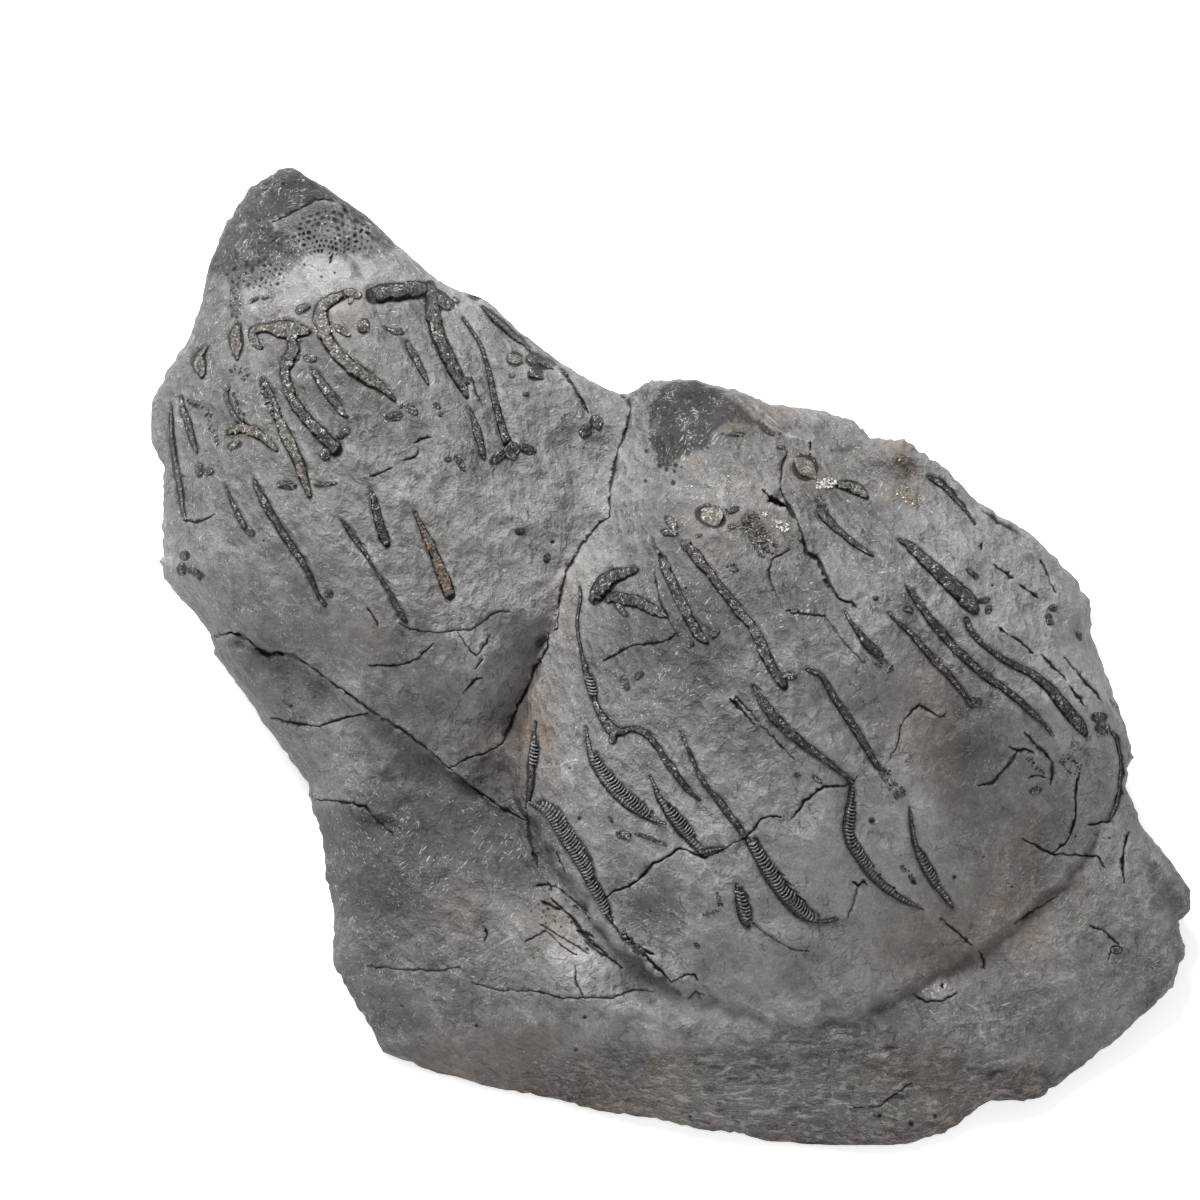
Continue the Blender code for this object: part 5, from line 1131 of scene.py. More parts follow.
    @staticmethod
    def drill_pits(points: Array, lift: Array, tint: dict) -> None:
        """Sink the small pits and dots, and darken them with painted shade."""
        for across, up, radius in PITS:
            rows = near_line(points, ((across, up),) * 2, 2.0)
            reach = np.hypot(points[rows, 0] - across, points[rows, 1] - up)
            share = clamp(1.3 - reach / radius)
            lift[rows] -= 0.8 * radius * share
            raise_to(tint["dark"], rows, share)

    def dress_caps(self, points: Array, lift: Array, tint: dict) -> None:
        """Darken the weathered caps, and pit the left crown's in rows, with painted shade in the pits."""
        ragged = 1.3 * sway(points, 3.2, 44.0, 3)
        for cap in CAPS:
            rows = near_line(points, cap.shape, 6.0)
            reach, _, _ = line_reach(points[rows], cap.shape + cap.shape[:1])
            signed = np.where(inside_shape(points[rows], cap.shape), reach, -reach)
            bead = (np.cos(points[rows, 0] * math.tau / 2.3)
                    * np.cos(points[rows, 1] * math.tau / 2.1))
            edge = (signed + cap.beads * bead + (1.0 - 0.6 * cap.beads) * ragged[rows]) / 0.9
            share = cap.strength * clamp(edge + 0.3)
            raise_to(tint["cap"], rows, share)
            lift[rows] += 0.35 * cap.beads * bead * share
        for across, up, wide, high, strength in PIT_FIELDS:
            rows = near_line(points, ((across - wide, up - high), (across + wide, up + high)), 1.0)
            spots = points[rows]
            field = oval(spots, across, up, wide, high)
            bend = sway(spots, 7.0, 41.0)
            right, back = (spots - self.PIT_MIDDLE).T
            lanes = np.hypot(right, back) + 1.4 * bend
            around = np.arctan2(back, right) * self.PIT_RADIUS + 0.9 * sway(spots, 3.0, 42.0)
            row = np.round(lanes / self.PIT_ROWS)
            bead = np.round(around / self.PIT_STEP + 0.5 * row)
            gap = np.hypot(lanes - self.PIT_ROWS * row,
                           around - self.PIT_STEP * (bead - 0.5 * row))
            chance = np.sin(12.9 * row + 78.2 * bead) * 43758.5
            size = 0.25 + 0.5 * (chance - np.floor(chance))
            pits = clamp((size - gap) / 0.3 + 0.3)
            pits *= strength * clamp((1.0 - field) * 3.0)
            # The pits are sunk and painted dark: painted shade.
            lift[rows] -= 0.6 * pits
            raise_to(tint["dark"], rows, 0.98 * pits)


def new_object(name: str, mesh: Mesh, smooth: bool = True) -> bpy.types.Object:
    """Put a finished bmesh into the scene as one object at the origin.

    Args:
        name: name of the object.
        mesh: the mesh, in metres and in place. It is freed.
        smooth: whether its faces are shaded smooth.

    Returns:
        The object.
    """
    data = bpy.data.meshes.new(name)
    mesh.to_mesh(data)
    mesh.free()
    item = bpy.data.objects.new(name, data)
    bpy.context.scene.collection.objects.link(item)
    for face in data.polygons:
        face.use_smooth = smooth
    return item


def report(item: bpy.types.Object) -> None:
    """Log the size of one finished piece."""
    log.info("%s: %d faces", item.name, len(item.data.polygons))


def add_fossil(mesh: Mesh, name: str, finish: Material, node: str = "",
               smooth: bool = True) -> None:
    """Turn one mesh into a piece of the fossil.

    Args:
        mesh: the mesh. It is freed.
        name: name of the piece.
        finish: its material.
        node: the solid that it stands for, if any.
        smooth: whether its faces are shaded smooth.
    """
    bmesh.ops.recalc_face_normals(mesh, faces=mesh.faces[:])
    item = new_object(name, mesh, smooth)
    item.data.materials.append(finish)
    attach(item, BODY)
    if node:
        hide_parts(node)
    report(item)


@dataclass
class MudstoneBlock:
    """The mudstone block with its prepared face, broken sides and underside.

    Attributes:
        face: relief of the face.
        grid: spacing of the first points of the face, in millimetres.
        inset: distance of the first row inside the rim.
        levels: rows of the side walls.
        node: the solid that it stands for.
    """

    face: Face
    grid: float = 9.4
    inset: float = 4.5
    levels: int = 15
    node: str = "mudstone_block"

    FLOOR_INSET = 0.6
    FLOOR_SLANT = 0.07
    WALL_HOLLOW = 1.0
    WALL_SWAY = 3.4
    WALL_SWAY_SIZE = 21.0
    RIM_CUTS = 3
    # Three spots of the plane that parts the block: across, up, lift.
    PARTING = ((-13.0, 251.0, 0.0), (-51.0, 101.0, 0.0), (-13.0, 251.0, 50.0))

    def build(self) -> None:
        """Build the block, as two pieces that carry its tints as attributes."""
        mesh = self.face_mesh()
        self.refine(mesh)
        self.lift_face(mesh)
        self.add_walls(mesh)
        bmesh.ops.remove_doubles(mesh, verts=mesh.verts[:], dist=2e-6)
        bmesh.ops.triangulate(mesh, faces=mesh.faces[:])
        bmesh.ops.recalc_face_normals(mesh, faces=mesh.faces[:])
        finish = MudstoneFinish().material()
        for name, half in zip(("right", "left"), self.halves(mesh)):
            item = new_object(f"mudstone_{name}_half", half)
            kept = item.data.attributes["whole_normal"].data
            item.data.normals_split_custom_set_from_vertices([spot.vector for spot in kept])
            item.data.materials.append(finish)
            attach(item, BODY)
            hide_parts(self.node)
            report(item)

    def halves(self, mesh: Mesh) -> list[Mesh]:
        """Part the block along the valley between the crowns.

        Args:
            mesh: the closed block. It is freed.

        Returns:
            Two closed meshes. Their points keep the normals of the whole
            block, so that no seam shows.
        """
        start, end, above = (to_world(*spot) for spot in self.PARTING)
        facing = (end - start).cross(above - start).normalized()
        everything = mesh.verts[:] + mesh.edges[:] + mesh.faces[:]
        bmesh.ops.bisect_plane(mesh, geom=everything, dist=1e-6, plane_co=start, plane_no=facing)
        bmesh.ops.triangulate(mesh, faces=mesh.faces[:])
        mesh.normal_update()
        layer = mesh.verts.layers.float_vector.new("whole_normal")
        for vert in mesh.verts:
            vert[layer] = vert.normal
        parts = []
        for way in (1.0, -1.0):
            half = mesh.copy()
            everything = half.verts[:] + half.edges[:] + half.faces[:]
            bmesh.ops.bisect_plane(half, geom=everything, dist=1e-6, plane_co=start,
                                   plane_no=facing * way, clear_outer=True)
            rim = [edge for edge in half.edges if edge.is_boundary]
            bmesh.ops.triangle_fill(half, use_beauty=True, use_dissolve=False, edges=rim)
            bmesh.ops.triangulate(half, faces=half.faces[:])
            log.info("open edges: %d", sum(edge.is_boundary for edge in half.edges))
            parts.append(half)
        mesh.free()
        return parts

    def face_mesh(self) -> Mesh:
        """Flat mesh of the face, in the plane of the face and in millimetres."""
        rim = [Vector(point[:2]) for point in RIM]
        inner = []
        for index, point in enumerate(rim):
            along = (rim[(index + 1) % len(rim)] - rim[index - 1]).normalized()
            inner.append(point + left_of(along) * self.inset)
        row_step = self.grid * math.sqrt(3.0) / 2.0
        for row in range(40):
            for column in range(38):
                across = -174.0 + self.grid * (column + 0.5 * (row % 2))
                inner.append(Vector((across, row * row_step)))
        spots = np.array([tuple(point) for point in inner])
        reach, _ = self.face.rim_reach(spots)
        limit = np.where(np.arange(len(spots)) < len(rim), 0.7 * self.inset, 1.9 * self.inset)
        shape = tuple(tuple(point[:2]) for point in RIM)
        kept = (reach > limit) & inside_shape(spots, shape)
        points = rim + [point for point, keep in zip(inner, kept) if keep]
        edges = [(index, (index + 1) % len(rim)) for index in range(len(rim))]
        flat, _, faces, _, _, _ = delaunay_2d_cdt(points, edges, [], 1, 1e-6)
        mesh = bmesh.new()
        verts = [mesh.verts.new((point.x, point.y, 0.0)) for point in flat]
        for corners in faces:
            mesh.faces.new([verts[corner] for corner in corners])
        return mesh

    def need(self, spots: Array) -> Array:
        """How many times the mesh is split at each point of the face."""
        edge, sharp = np.zeros((2, len(spots)), bool)
        for crack in CRACKS:
            band = 0.5 + 0.5 * crack.width
            rows = near_line(spots, crack.line, band)
            sharp[rows] |= line_reach(spots[rows], crack.line)[0] < band
        for arm in LEFT_ARMS + RIGHT_ARMS:
            rows, gap, _ = arm.edge_gap(spots)
            edge[rows] |= abs(gap) < 1.2
            sharp[rows] |= abs(gap - 0.1) < 0.35
        for ossicle in OSSICLES:
            rows = near_line(spots, (ossicle.place,) * 2, 0.5 * ossicle.length + 0.8)
            edge[rows] = True
        for *shape, _ in PIT_FIELDS:
            sharp |= oval(spots, *shape) < 1.0
        for across, up, radius in PITS:
            rows = near_line(spots, ((across, up),) * 2, radius + 0.8)
            sharp[rows] = True
        inner = self.face.rim_reach(spots)[0] > 2.5
        need = np.full(len(spots), 3)
        need[(edge | sharp) & inner] = 4
        need[sharp & inner] = 5
        return need

    def refine(self, mesh: Mesh) -> None:
        """Split the flat mesh where the face has its fine forms."""
        for level in range(1, 6):
            edges = list(mesh.edges)
            middles = np.array([(edge.verts[0].co + edge.verts[1].co)[:2] for edge in edges])
            wanted = self.need(middles / 2.0) >= level
            chosen = [
                edge for edge, want in zip(edges, wanted)
                if (level <= self.RIM_CUTS if edge.is_boundary else want)
            ]
            bmesh.ops.subdivide_edges(mesh, edges=chosen, cuts=1, use_grid_fill=True)
            bmesh.ops.triangulate(mesh, faces=mesh.faces[:])

    def drawn_in(self, spots: Array, reach: Array) -> Array:
        """Draw points near the rim inward, for a ragged broken edge."""
        inward = np.array(BLOCK_MIDDLE) - spots
        inward /= np.hypot(inward[:, 0], inward[:, 1])[:, None]
        ragged = np.clip(1.3 * sway(spots, 3.6, 51.0, 4) - 1.1, -2.0, 1.0)
        beside = clamp((np.abs(spots[:, 0] + 127.0) - 0.5) / 5.0)
        ragged += 1.8 * beside * clamp((spots[:, 1] - 319.0) / 5.0)
        amount = self.face.RAGGED_RIM * ragged * clamp(1.0 - reach / 8.0)
        corners = np.array(RIM)[:, :2]
        return np.clip(spots + amount[:, None] * inward, corners.min(axis=0), corners.max(axis=0))

    def lift_face(self, mesh: Mesh) -> None:
        """Raise the flat mesh into the relief and give it its tints."""
        layers = {name: mesh.verts.layers.float.new(name) for name in Face.TINTS}
        verts = list(mesh.verts)
        spots = np.array([tuple(vert.co[:2]) for vert in verts])
        border = np.array([vert.is_boundary for vert in verts])
        reach, height = self.face.rim_reach(spots)
        fine, tint = self.face.fine(spots)
        fade = clamp(reach / 1.5)
        lift = self.face.broad(spots) + fade * fine
        lift[border] = rim_lift(spots[border, 1], height[border])
        placed = self.drawn_in(spots, np.where(border, 0.0, reach))
        for index, vert in enumerate(verts):
            vert.co = to_world(placed[index, 0], placed[index, 1], lift[index])
            for name, layer in layers.items():
                vert[layer] = float(tint[name][index])

    def rim_row(self) -> tuple[Array, Array]:
        """Points of the rim as finely as the face has them, and their heights."""
        steps = 2 ** self.RIM_CUTS
        rim = np.array(RIM, float)
        after = np.roll(rim, -1, axis=0)
        shares = np.arange(steps) / steps
        rows = rim[:, None, :] + shares[None, :, None] * (after - rim)[:, None, :]
        rows = rows.reshape(-1, 3)
        return rows[:, :2], rows[:, 2]

    def floor_row(self) -> list[Vector]:
        """Points of the underside below the rim row, in millimetres."""
        ring = []
        for across, up, height in RIM:
            flat = Vector((across, up))
            inward = (Vector(BLOCK_MIDDLE) - flat).normalized()
            flat += inward * (self.FLOOR_INSET + self.FLOOR_SLANT * height)
            ring.append(Vector((flat.x, flat.y / LEAN_COS)))
        count, steps = len(ring), 2 ** self.RIM_CUTS
        evened = []
        for index in range(count):
            near = ring[index - 1] + ring[(index + 1) % count]
            far = ring[index - 2] + ring[(index + 2) % count]
            evened.append(0.3 * ring[index] + 0.22 * near + 0.13 * far)
        return [
            evened[index].lerp(evened[(index + 1) % count], step / steps)
            for index in range(count) for step in range(steps)
        ]

    def add_walls(self, mesh: Mesh) -> None:
        """Add the broken side walls and the flat underside."""
        spots, height = self.rim_row()
        placed = self.drawn_in(spots, np.zeros(len(spots)))
        lift = rim_lift(spots[:, 1], height)
        tops = [to_world(*place, rise) for place, rise in zip(placed, lift)]
        floors = [
            Vector((flat.x - BASE_MIDDLE[0], flat.y - BASE_MIDDLE[1], 0.0)) * MM
            for flat in self.floor_row()
        ]
        count = len(tops)
        before = set(mesh.verts)
        bmesh.ops.create_grid(mesh, x_segments=count, y_segments=self.levels, size=0.5)
        tints = [mesh.verts.layers.float[name] for name in ("rough", "pale", "stain", "cap")]
        middle = Vector((-BASE_MIDDLE[0], BLOCK_MIDDLE[1] - BASE_MIDDLE[1], 0.0)) * MM
        bottom = []
        for vert in [vert for vert in mesh.verts if vert not in before]:
            column = round((vert.co.x + 0.5) * count) % count
            level = round((vert.co.y + 0.5) * self.levels) / self.levels
            low, high = floors[column], tops[column]
            place = low.lerp(high, level)
            outward = Vector((low.x - middle.x, low.y - middle.y, 0.0)).normalized()
            swell = self.WALL_SWAY * noise.noise(self.own_place(place) / self.WALL_SWAY_SIZE)
            layers = noise.fractal(Vector((place.x * 25, place.y * 25, place.z * 240)),
                                   0.9, 2.0, 3)
            chips = noise.fractal(place * 110.0, 0.8, 2.0, 3)
            out = swell - self.WALL_HOLLOW + 0.7 * layers + 0.9 * chips - 0.5
            place += outward * out * math.sin(math.pi * level) * MM
            if level == 0.0:
                bottom.append(vert)
            vert.co = place
            for tint, value in zip(tints, (1.0, 0.5 * layers, 0.35 + 0.5 * chips, -1.0)):
                vert[tint] = value
        bmesh.ops.remove_doubles(mesh, verts=bottom, dist=2e-6)
        lowest = {vert for vert in bottom if vert.is_valid}
        loop = [edge for edge in mesh.edges if set(edge.verts) <= lowest]
        bmesh.ops.edgeloop_fill(mesh, edges=loop)

    @staticmethod
    def own_place(place: Vector) -> Vector:
        """A place of the shared frame in the face's own frame, in millimetres."""
        return place / MM + Vector((BASE_MIDDLE[0], BASE_MIDDLE[1], 0.0))


class Lay:
    """Places things on the face: a point, its normal and two directions."""

    def __init__(self, face: Face, spots: list[Vector]) -> None:
        points = np.array([tuple(spot) for spot in spots])
        lift, slope = face.ground(points)
        self.points = [to_world(a, u, rise) for (a, u), rise in zip(points, lift)]
        self.normals = [to_way(-right, -back, 1.0).normalized() for right, back in slope]

    def frame_at(self, index: int) -> tuple[Vector, Vector, Vector, Vector]:
        """Place, direction along, direction to the side and normal."""
        last = len(self.points) - 1
        along = self.points[min(index + 1, last)] - self.points[max(index - 1, 0)]
        normal = self.normals[index]
        along = (along - normal * along.dot(normal)).normalized()
        return self.points[index], along, along.cross(normal), normal


def add_tube(mesh: Mesh, rings: list[list[Vector]],
             layer: bmesh.types.BMLayerItem | None = None,
             values: list[list[float]] | None = None) -> None:
    """Add a closed tube through a row of rings to a mesh.

    Args:
        mesh: receives the tube.
        rings: each ring's points, all of the same number. The first and last
            ring shrink to their middle, which closes the tube.
        layer: vertex layer that takes a value for each point of the rings.
        values: those values, ring by ring.
    """
    around, count = len(rings[0]), len(rings)
    before = set(mesh.verts)
    bmesh.ops.create_grid(mesh, x_segments=around, y_segments=count + 1, size=0.5)
    made = [vert for vert in mesh.verts if vert not in before]
    middles = [sum(ring, Vector()) / around for ring in (rings[0], rings[-1])]
    for vert in made:
        column = round((vert.co.x + 0.5) * around) % around
        row = round((vert.co.y + 0.5) * (count + 1))
        if row == 0:
            vert.co = middles[0]
        elif row == count + 1:
            vert.co = middles[1]
        else:
            vert.co = rings[row - 1][column]
            if layer is not None:
                vert[layer] = values[row - 1][column]
    bmesh.ops.remove_doubles(mesh, verts=made, dist=1e-7)


@dataclass
class ArmBuilder:
    """Builds the arm sections of one crown.

    Attributes:
        face: relief that the arms lie on.
        around: points round each section.
        step: spacing of the rings, in millimetres.
    """

    face: Face
    around: int = 18
    step: float = 0.38

    def build(self, arms: tuple[ArmSection, ...],
              finishes: dict[Look, Material]) -> None:
        """Build every section as a piece of its own.

        Args:
            arms: the sections.
            finishes: the material of each look.
        """
        for index, arm in enumerate(arms):
            mesh = bmesh.new()
            self.add_section(mesh, arm, 7.0 * index)
            add_fossil(mesh, arm.node + "_fossil", finishes[arm.look], arm.node)

    def build_strips(self, finish: Material) -> None:
        """Build the short loose strips as one piece.

        Args:
            finish: their material.
        """
        mesh = bmesh.new()
        for index, course in enumerate(LOOSE_STRIPS):
            self.add_section(mesh, ArmSection("strip", course), 5.0 * index + 2.0)
        add_fossil(mesh, "loose_arm_strips", finish)

    def add_section(self, mesh: Mesh, arm: ArmSection, seed: float) -> None:
        """Add one section, with its ossicles and worn, uneven edges."""
        layer = mesh.verts.layers.float.get("joint_and_painted_shade") or mesh.verts.layers.float.new("joint_and_painted_shade")
        step = 0.25 * arm.pitch if arm.look is Look.COMBED else self.step
        course = smooth_line(arm.course, step)
        lay = Lay(self.face, [Vector(spot[:2]) for spot in course])
        rings, hollows = [], []
        for index, spot in enumerate(course):
            run = index * step
            joint = 1.0 - abs(math.sin(math.pi * run / arm.pitch)) ** 0.6
            ring, joint_and_painted_shade = self.ring(lay.frame_at(index), 0.5 * spot[2], run, joint, arm, seed)
            rings.append(ring)
            hollows.append(joint_and_painted_shade)
        add_tube(mesh, rings, layer, hollows)

    def ring(self, frame: tuple[Vector, ...], half: float, run: float, joint: float,
             arm: ArmSection, seed: float) -> tuple[list[Vector], list[float]]:
        """One ring of a section: its points, and how dark each is painted: joints, and painted shade at
        the sides and dents.
        """
        place, _, side, normal = frame
        crown = (0.22 + 0.13 * half) * arm.raised
        own = 1.0 + 0.2 * noise.cell(Vector((run / arm.pitch, seed, 0.5))) - 0.1
        points, hollows = [], []
        for step in range(self.around):
            angle = math.tau * (step + 0.5) / self.around
            flat, high = math.cos(angle), math.sin(angle)
            out = math.copysign(abs(flat) ** 0.5, flat)
            where = Vector((run / 0.85, out * half / 0.85, seed))
            knob = noise.fractal(where, 0.75, 2.0, 3)
            edge = noise.noise(Vector((run / 1.3, 2.5 * out, seed + 40.0)))
            wide = half * (own + 0.2 * edge) + 0.12 * knob - 0.8 * arm.ribs * joint
            if high > 0.0:
                worn = 1.0 - 0.25 * out ** 2
                rise = high ** 0.35 * (crown * worn + 0.26 * knob) - arm.ribs * joint
            else:
                rise = high * (0.5 + 0.5 * half)
            points.append(place + (side * out * wide + normal * rise) * MM)
            # Dark joints are the fossil's own colour; the sides and the low spots of the knobs get
            # painted shade, and combed arms are darker on their right-hand half.
            joint_and_painted_shade = 1.8 * arm.ribs * joint + 0.7 * max(0.0, abs(out) - 0.86) / 0.14
            if arm.look is Look.COMBED:
                joint_and_painted_shade += max(0.0, min(1.0, 3.0 * out - 0.5)) + 0.8 * joint
            hollows.append(min(1.0, joint_and_painted_shade - 0.8 * min(0.0, knob)))
        return points, hollows


@dataclass(frozen=True)
class Comb:
    """A row of pale pinnules beside an arm, on a bed darkened with painted shade.

    Attributes:
        line: where the teeth start.
        length: length of the teeth, in millimetres.
        slant: how far they lean along the row.
        pitch: spacing of the teeth.
    """

    line: Line
    length: float
    slant: float = 0.25
    pitch: float = 1.05


COMBS = tuple(Comb(*row) for row in (
    (((-43.6, 113.8), (-40.6, 111.9), (-37.9, 108.8), (-35.8, 104.9), (-33.2, 101.2), (-30.6, 96.9),
     (-28, 92.6), (-26.2, 89)), 3.6, -0.15, 1.0),
    (((-26.4, 89.4), (-24.2, 85), (-22, 81), (-20.4, 77.5)), 2.0, -0.1),
    (((-25.4, 131), (-24, 127.6), (-21.4, 124.2), (-18.8, 121), (-15.8, 118), (-12.8, 115.2),
     (-9.4, 112.8), (-6.3, 110.6)), 2.3, 0.1),
    (((-1, 113.4), (1.6, 109.9), (4.6, 106.4), (7.8, 103.2)), 2.4, 0.1),
    (((27.2, 102.5), (28.3, 99.5), (30.6, 95.3), (33, 91.5), (35.8, 87), (39.2, 83), (42.6, 79.9),
     (45.8, 77.5), (49, 76)), 3.0, 0.0),
    (((60.9, 114.5), (60.1, 110), (59.6, 105), (60.2, 102), (62.2, 98.8), (64.6, 95.8), (67.2, 92.9)),
     1.8, 0.1),
    (((82.8, 99), (84.6, 94.9), (86.9, 91.1), (89.2, 87.9)), 1.5, 0.1),
    (((-44.3, 134.5), (-44.7, 130), (-44.9, 126)), 1.3),
    (((-26.4, 157), (-25.6, 153.5), (-24.8, 149.5)), 1.5),
    (((22.9, 86), (23.8, 82.5), (24.8, 79), (26.1, 75.6)), 2.4, 0.35),
))


@dataclass
class PinnuleBuilder:
    """Builds the comb-like pinnules of the right crown as one piece.

    Attributes:
        face: relief that they lie on.
        combs: the rows.
    """

    face: Face
    combs: tuple[Comb, ...]

    def build(self, finish: Material) -> None:
        """Build all rows.

        Args:
            finish: the material of the pinnules.
        """
        mesh = bmesh.new()
        chance = random.Random(17)
        for comb in self.combs:
            spots = smooth_line(comb.line, 1.1 * comb.pitch)
            for index in range(1, len(spots) - 1):
                along = (spots[index + 1] - spots[index - 1]).normalized()
                share = min(1.0, 4.0 * min(index, len(spots) - 1 - index) / len(spots))
                length = 1.1 + comb.length * (0.5 + 0.5 * share) * chance.uniform(0.8, 1.1)
                left = left_of(along) + along * comb.slant
                self.tooth(mesh, spots[index], left.normalized() * length, along * 0.16 * length,
                           chance.uniform(0.22, 0.27))
        add_fossil(mesh, "right_crown_pinnules", finish)

    def tooth(self, mesh: Mesh, root: Vector, reach: Vector, sag: Vector,
              half: float) -> None:
        """Add one curved pinnule that runs from its root across the face."""
        spots = [
            root + reach * share + sag * math.sin(math.pi * share) - 1.6 * reach.normalized()
            for share in (0.0, 0.25, 0.5, 0.75, 1.0)
        ]
        lay = Lay(self.face, spots)
        rings = []
        for index, (size, top) in enumerate(((1.0, 3.2), (1.2, 3.4), (1.1, 3.2), (1.0, 2.6),
                                              (0.6, 2.2))):
            place, _, side, normal = lay.frame_at(index)
            ring = []
            for out, rise in ((-1.0, -2.5), (1.0, -2.5), (0.75, top), (-0.75, top)):
                ring.append(place + (side * out + normal * rise) * half * size * MM)
            rings.append(ring)
        add_tube(mesh, rings)


@dataclass
class CrumbBuilder:
    """Builds loose ossicles, crumbs and crystals, joined by kind."""

    face: Face

    def build(self, looks: dict[Look, Material],
              kinds: dict[Kind, Material]) -> None:
        """Build all loose pieces.

        Args:
            looks: the material of each look.
            kinds: the material of each kind of crumbs.
        """
        for look in Look:
            kept = [ossicle for ossicle in OSSICLES if ossicle.look is look]
            if not kept:
                continue
            mesh = bmesh.new()
            for index, ossicle in enumerate(kept):
                self.ossicle(mesh, ossicle, 3.1 * index)
            add_fossil(mesh, f"ossicles_{look.name.lower()}", looks[look])
        chance = random.Random(29)
        for kind, name in ((Kind.CRUMB, "arm_crumbs"), (Kind.CRYSTAL, "pyrite_crystals"),
                           (Kind.WHITE, "pale_crystals")):
            mesh = bmesh.new()
            for trail in TRAILS:
                if trail.kind is kind:
                    self.trail(mesh, trail, chance)
            add_fossil(mesh, name, kinds[kind], smooth=False)

    def ossicle(self, mesh: Mesh, ossicle: Ossicle, seed: float) -> None:
        """Add one low, worn plate that is sunk into the face."""
        lay = Lay(self.face, [Vector(ossicle.place)])
        normal = lay.normals[0]
        turn = math.radians(ossicle.turn)
        ahead = to_way(*Vector((math.cos(turn), math.sin(turn))), 0.0)
        ahead = (ahead - normal * ahead.dot(normal)).normalized()
        side = normal.cross(ahead)
        made = bmesh.ops.create_icosphere(mesh, subdivisions=4, radius=1.0)["verts"]
        for vert in made:
            x, y, z = vert.co
            bump = 1.0 + 0.24 * noise.noise(Vector((1.6 * x, 1.6 * y, seed)))
            knob = noise.fractal(Vector((x * ossicle.length, y * ossicle.width, seed)),
                                 0.7, 2.0, 3)
            square = (abs(x) ** 3.2 + abs(y) ** 3.2 + 1e-6) ** (1 / 3.2)
            round_off = math.hypot(x, y) / square
            along = x * round_off * bump * 0.5 * ossicle.length
            across = y * round_off * bump * 0.5 * ossicle.width
            if z > 0.0:
                rise = z ** 0.45 * (0.3 + 0.09 * min(4.0, ossicle.width) + 0.18 * knob)
            else:
                rise = 0.8 * z
            vert.co = lay.points[0] + (ahead * along + side * across + normal * rise) * MM

    def trail(self, mesh: Mesh, trail: Trail, chance: random.Random) -> None:
        """Scatter crumbs along a band, pressed into the face."""
        spots = smooth_line(trail.line, 0.5)
        count = round(trail.density * 0.5 * len(spots))
        places = []
        for _ in range(count):
            index = chance.randrange(1, len(spots) - 1)
            along = (spots[index + 1] - spots[index - 1]).normalized()
            off = 0.5 * trail.width * chance.uniform(-1.0, 1.0)
            places.append(spots[index] + left_of(along) * off)
        lay = Lay(self.face, places)
        for place, normal in zip(lay.points, lay.normals):
            size = trail.size * chance.uniform(0.45, 1.3) * MM
            if trail.kind is Kind.CRUMB:
                made = bmesh.ops.create_icosphere(mesh, subdivisions=1, radius=1.0)["verts"]
            else:
                size *= 0.65
                made = bmesh.ops.create_cube(mesh, size=1.5)["verts"]
            stretch = Vector((chance.uniform(0.7, 1.5), chance.uniform(0.6, 1.1),
                              chance.uniform(0.5, 0.8)))
            turn = Matrix.Rotation(chance.uniform(0, math.tau), 3, "Z")
            tilt = normal.to_track_quat("Z", "Y").to_matrix()
            lean = Matrix.Rotation(chance.uniform(-0.5, 0.5), 3, "X")
            for vert in made:
                shaped = vert.co * stretch * size
                vert.co = place + normal * 0.15 * size + tilt @ turn @ lean @ shaped


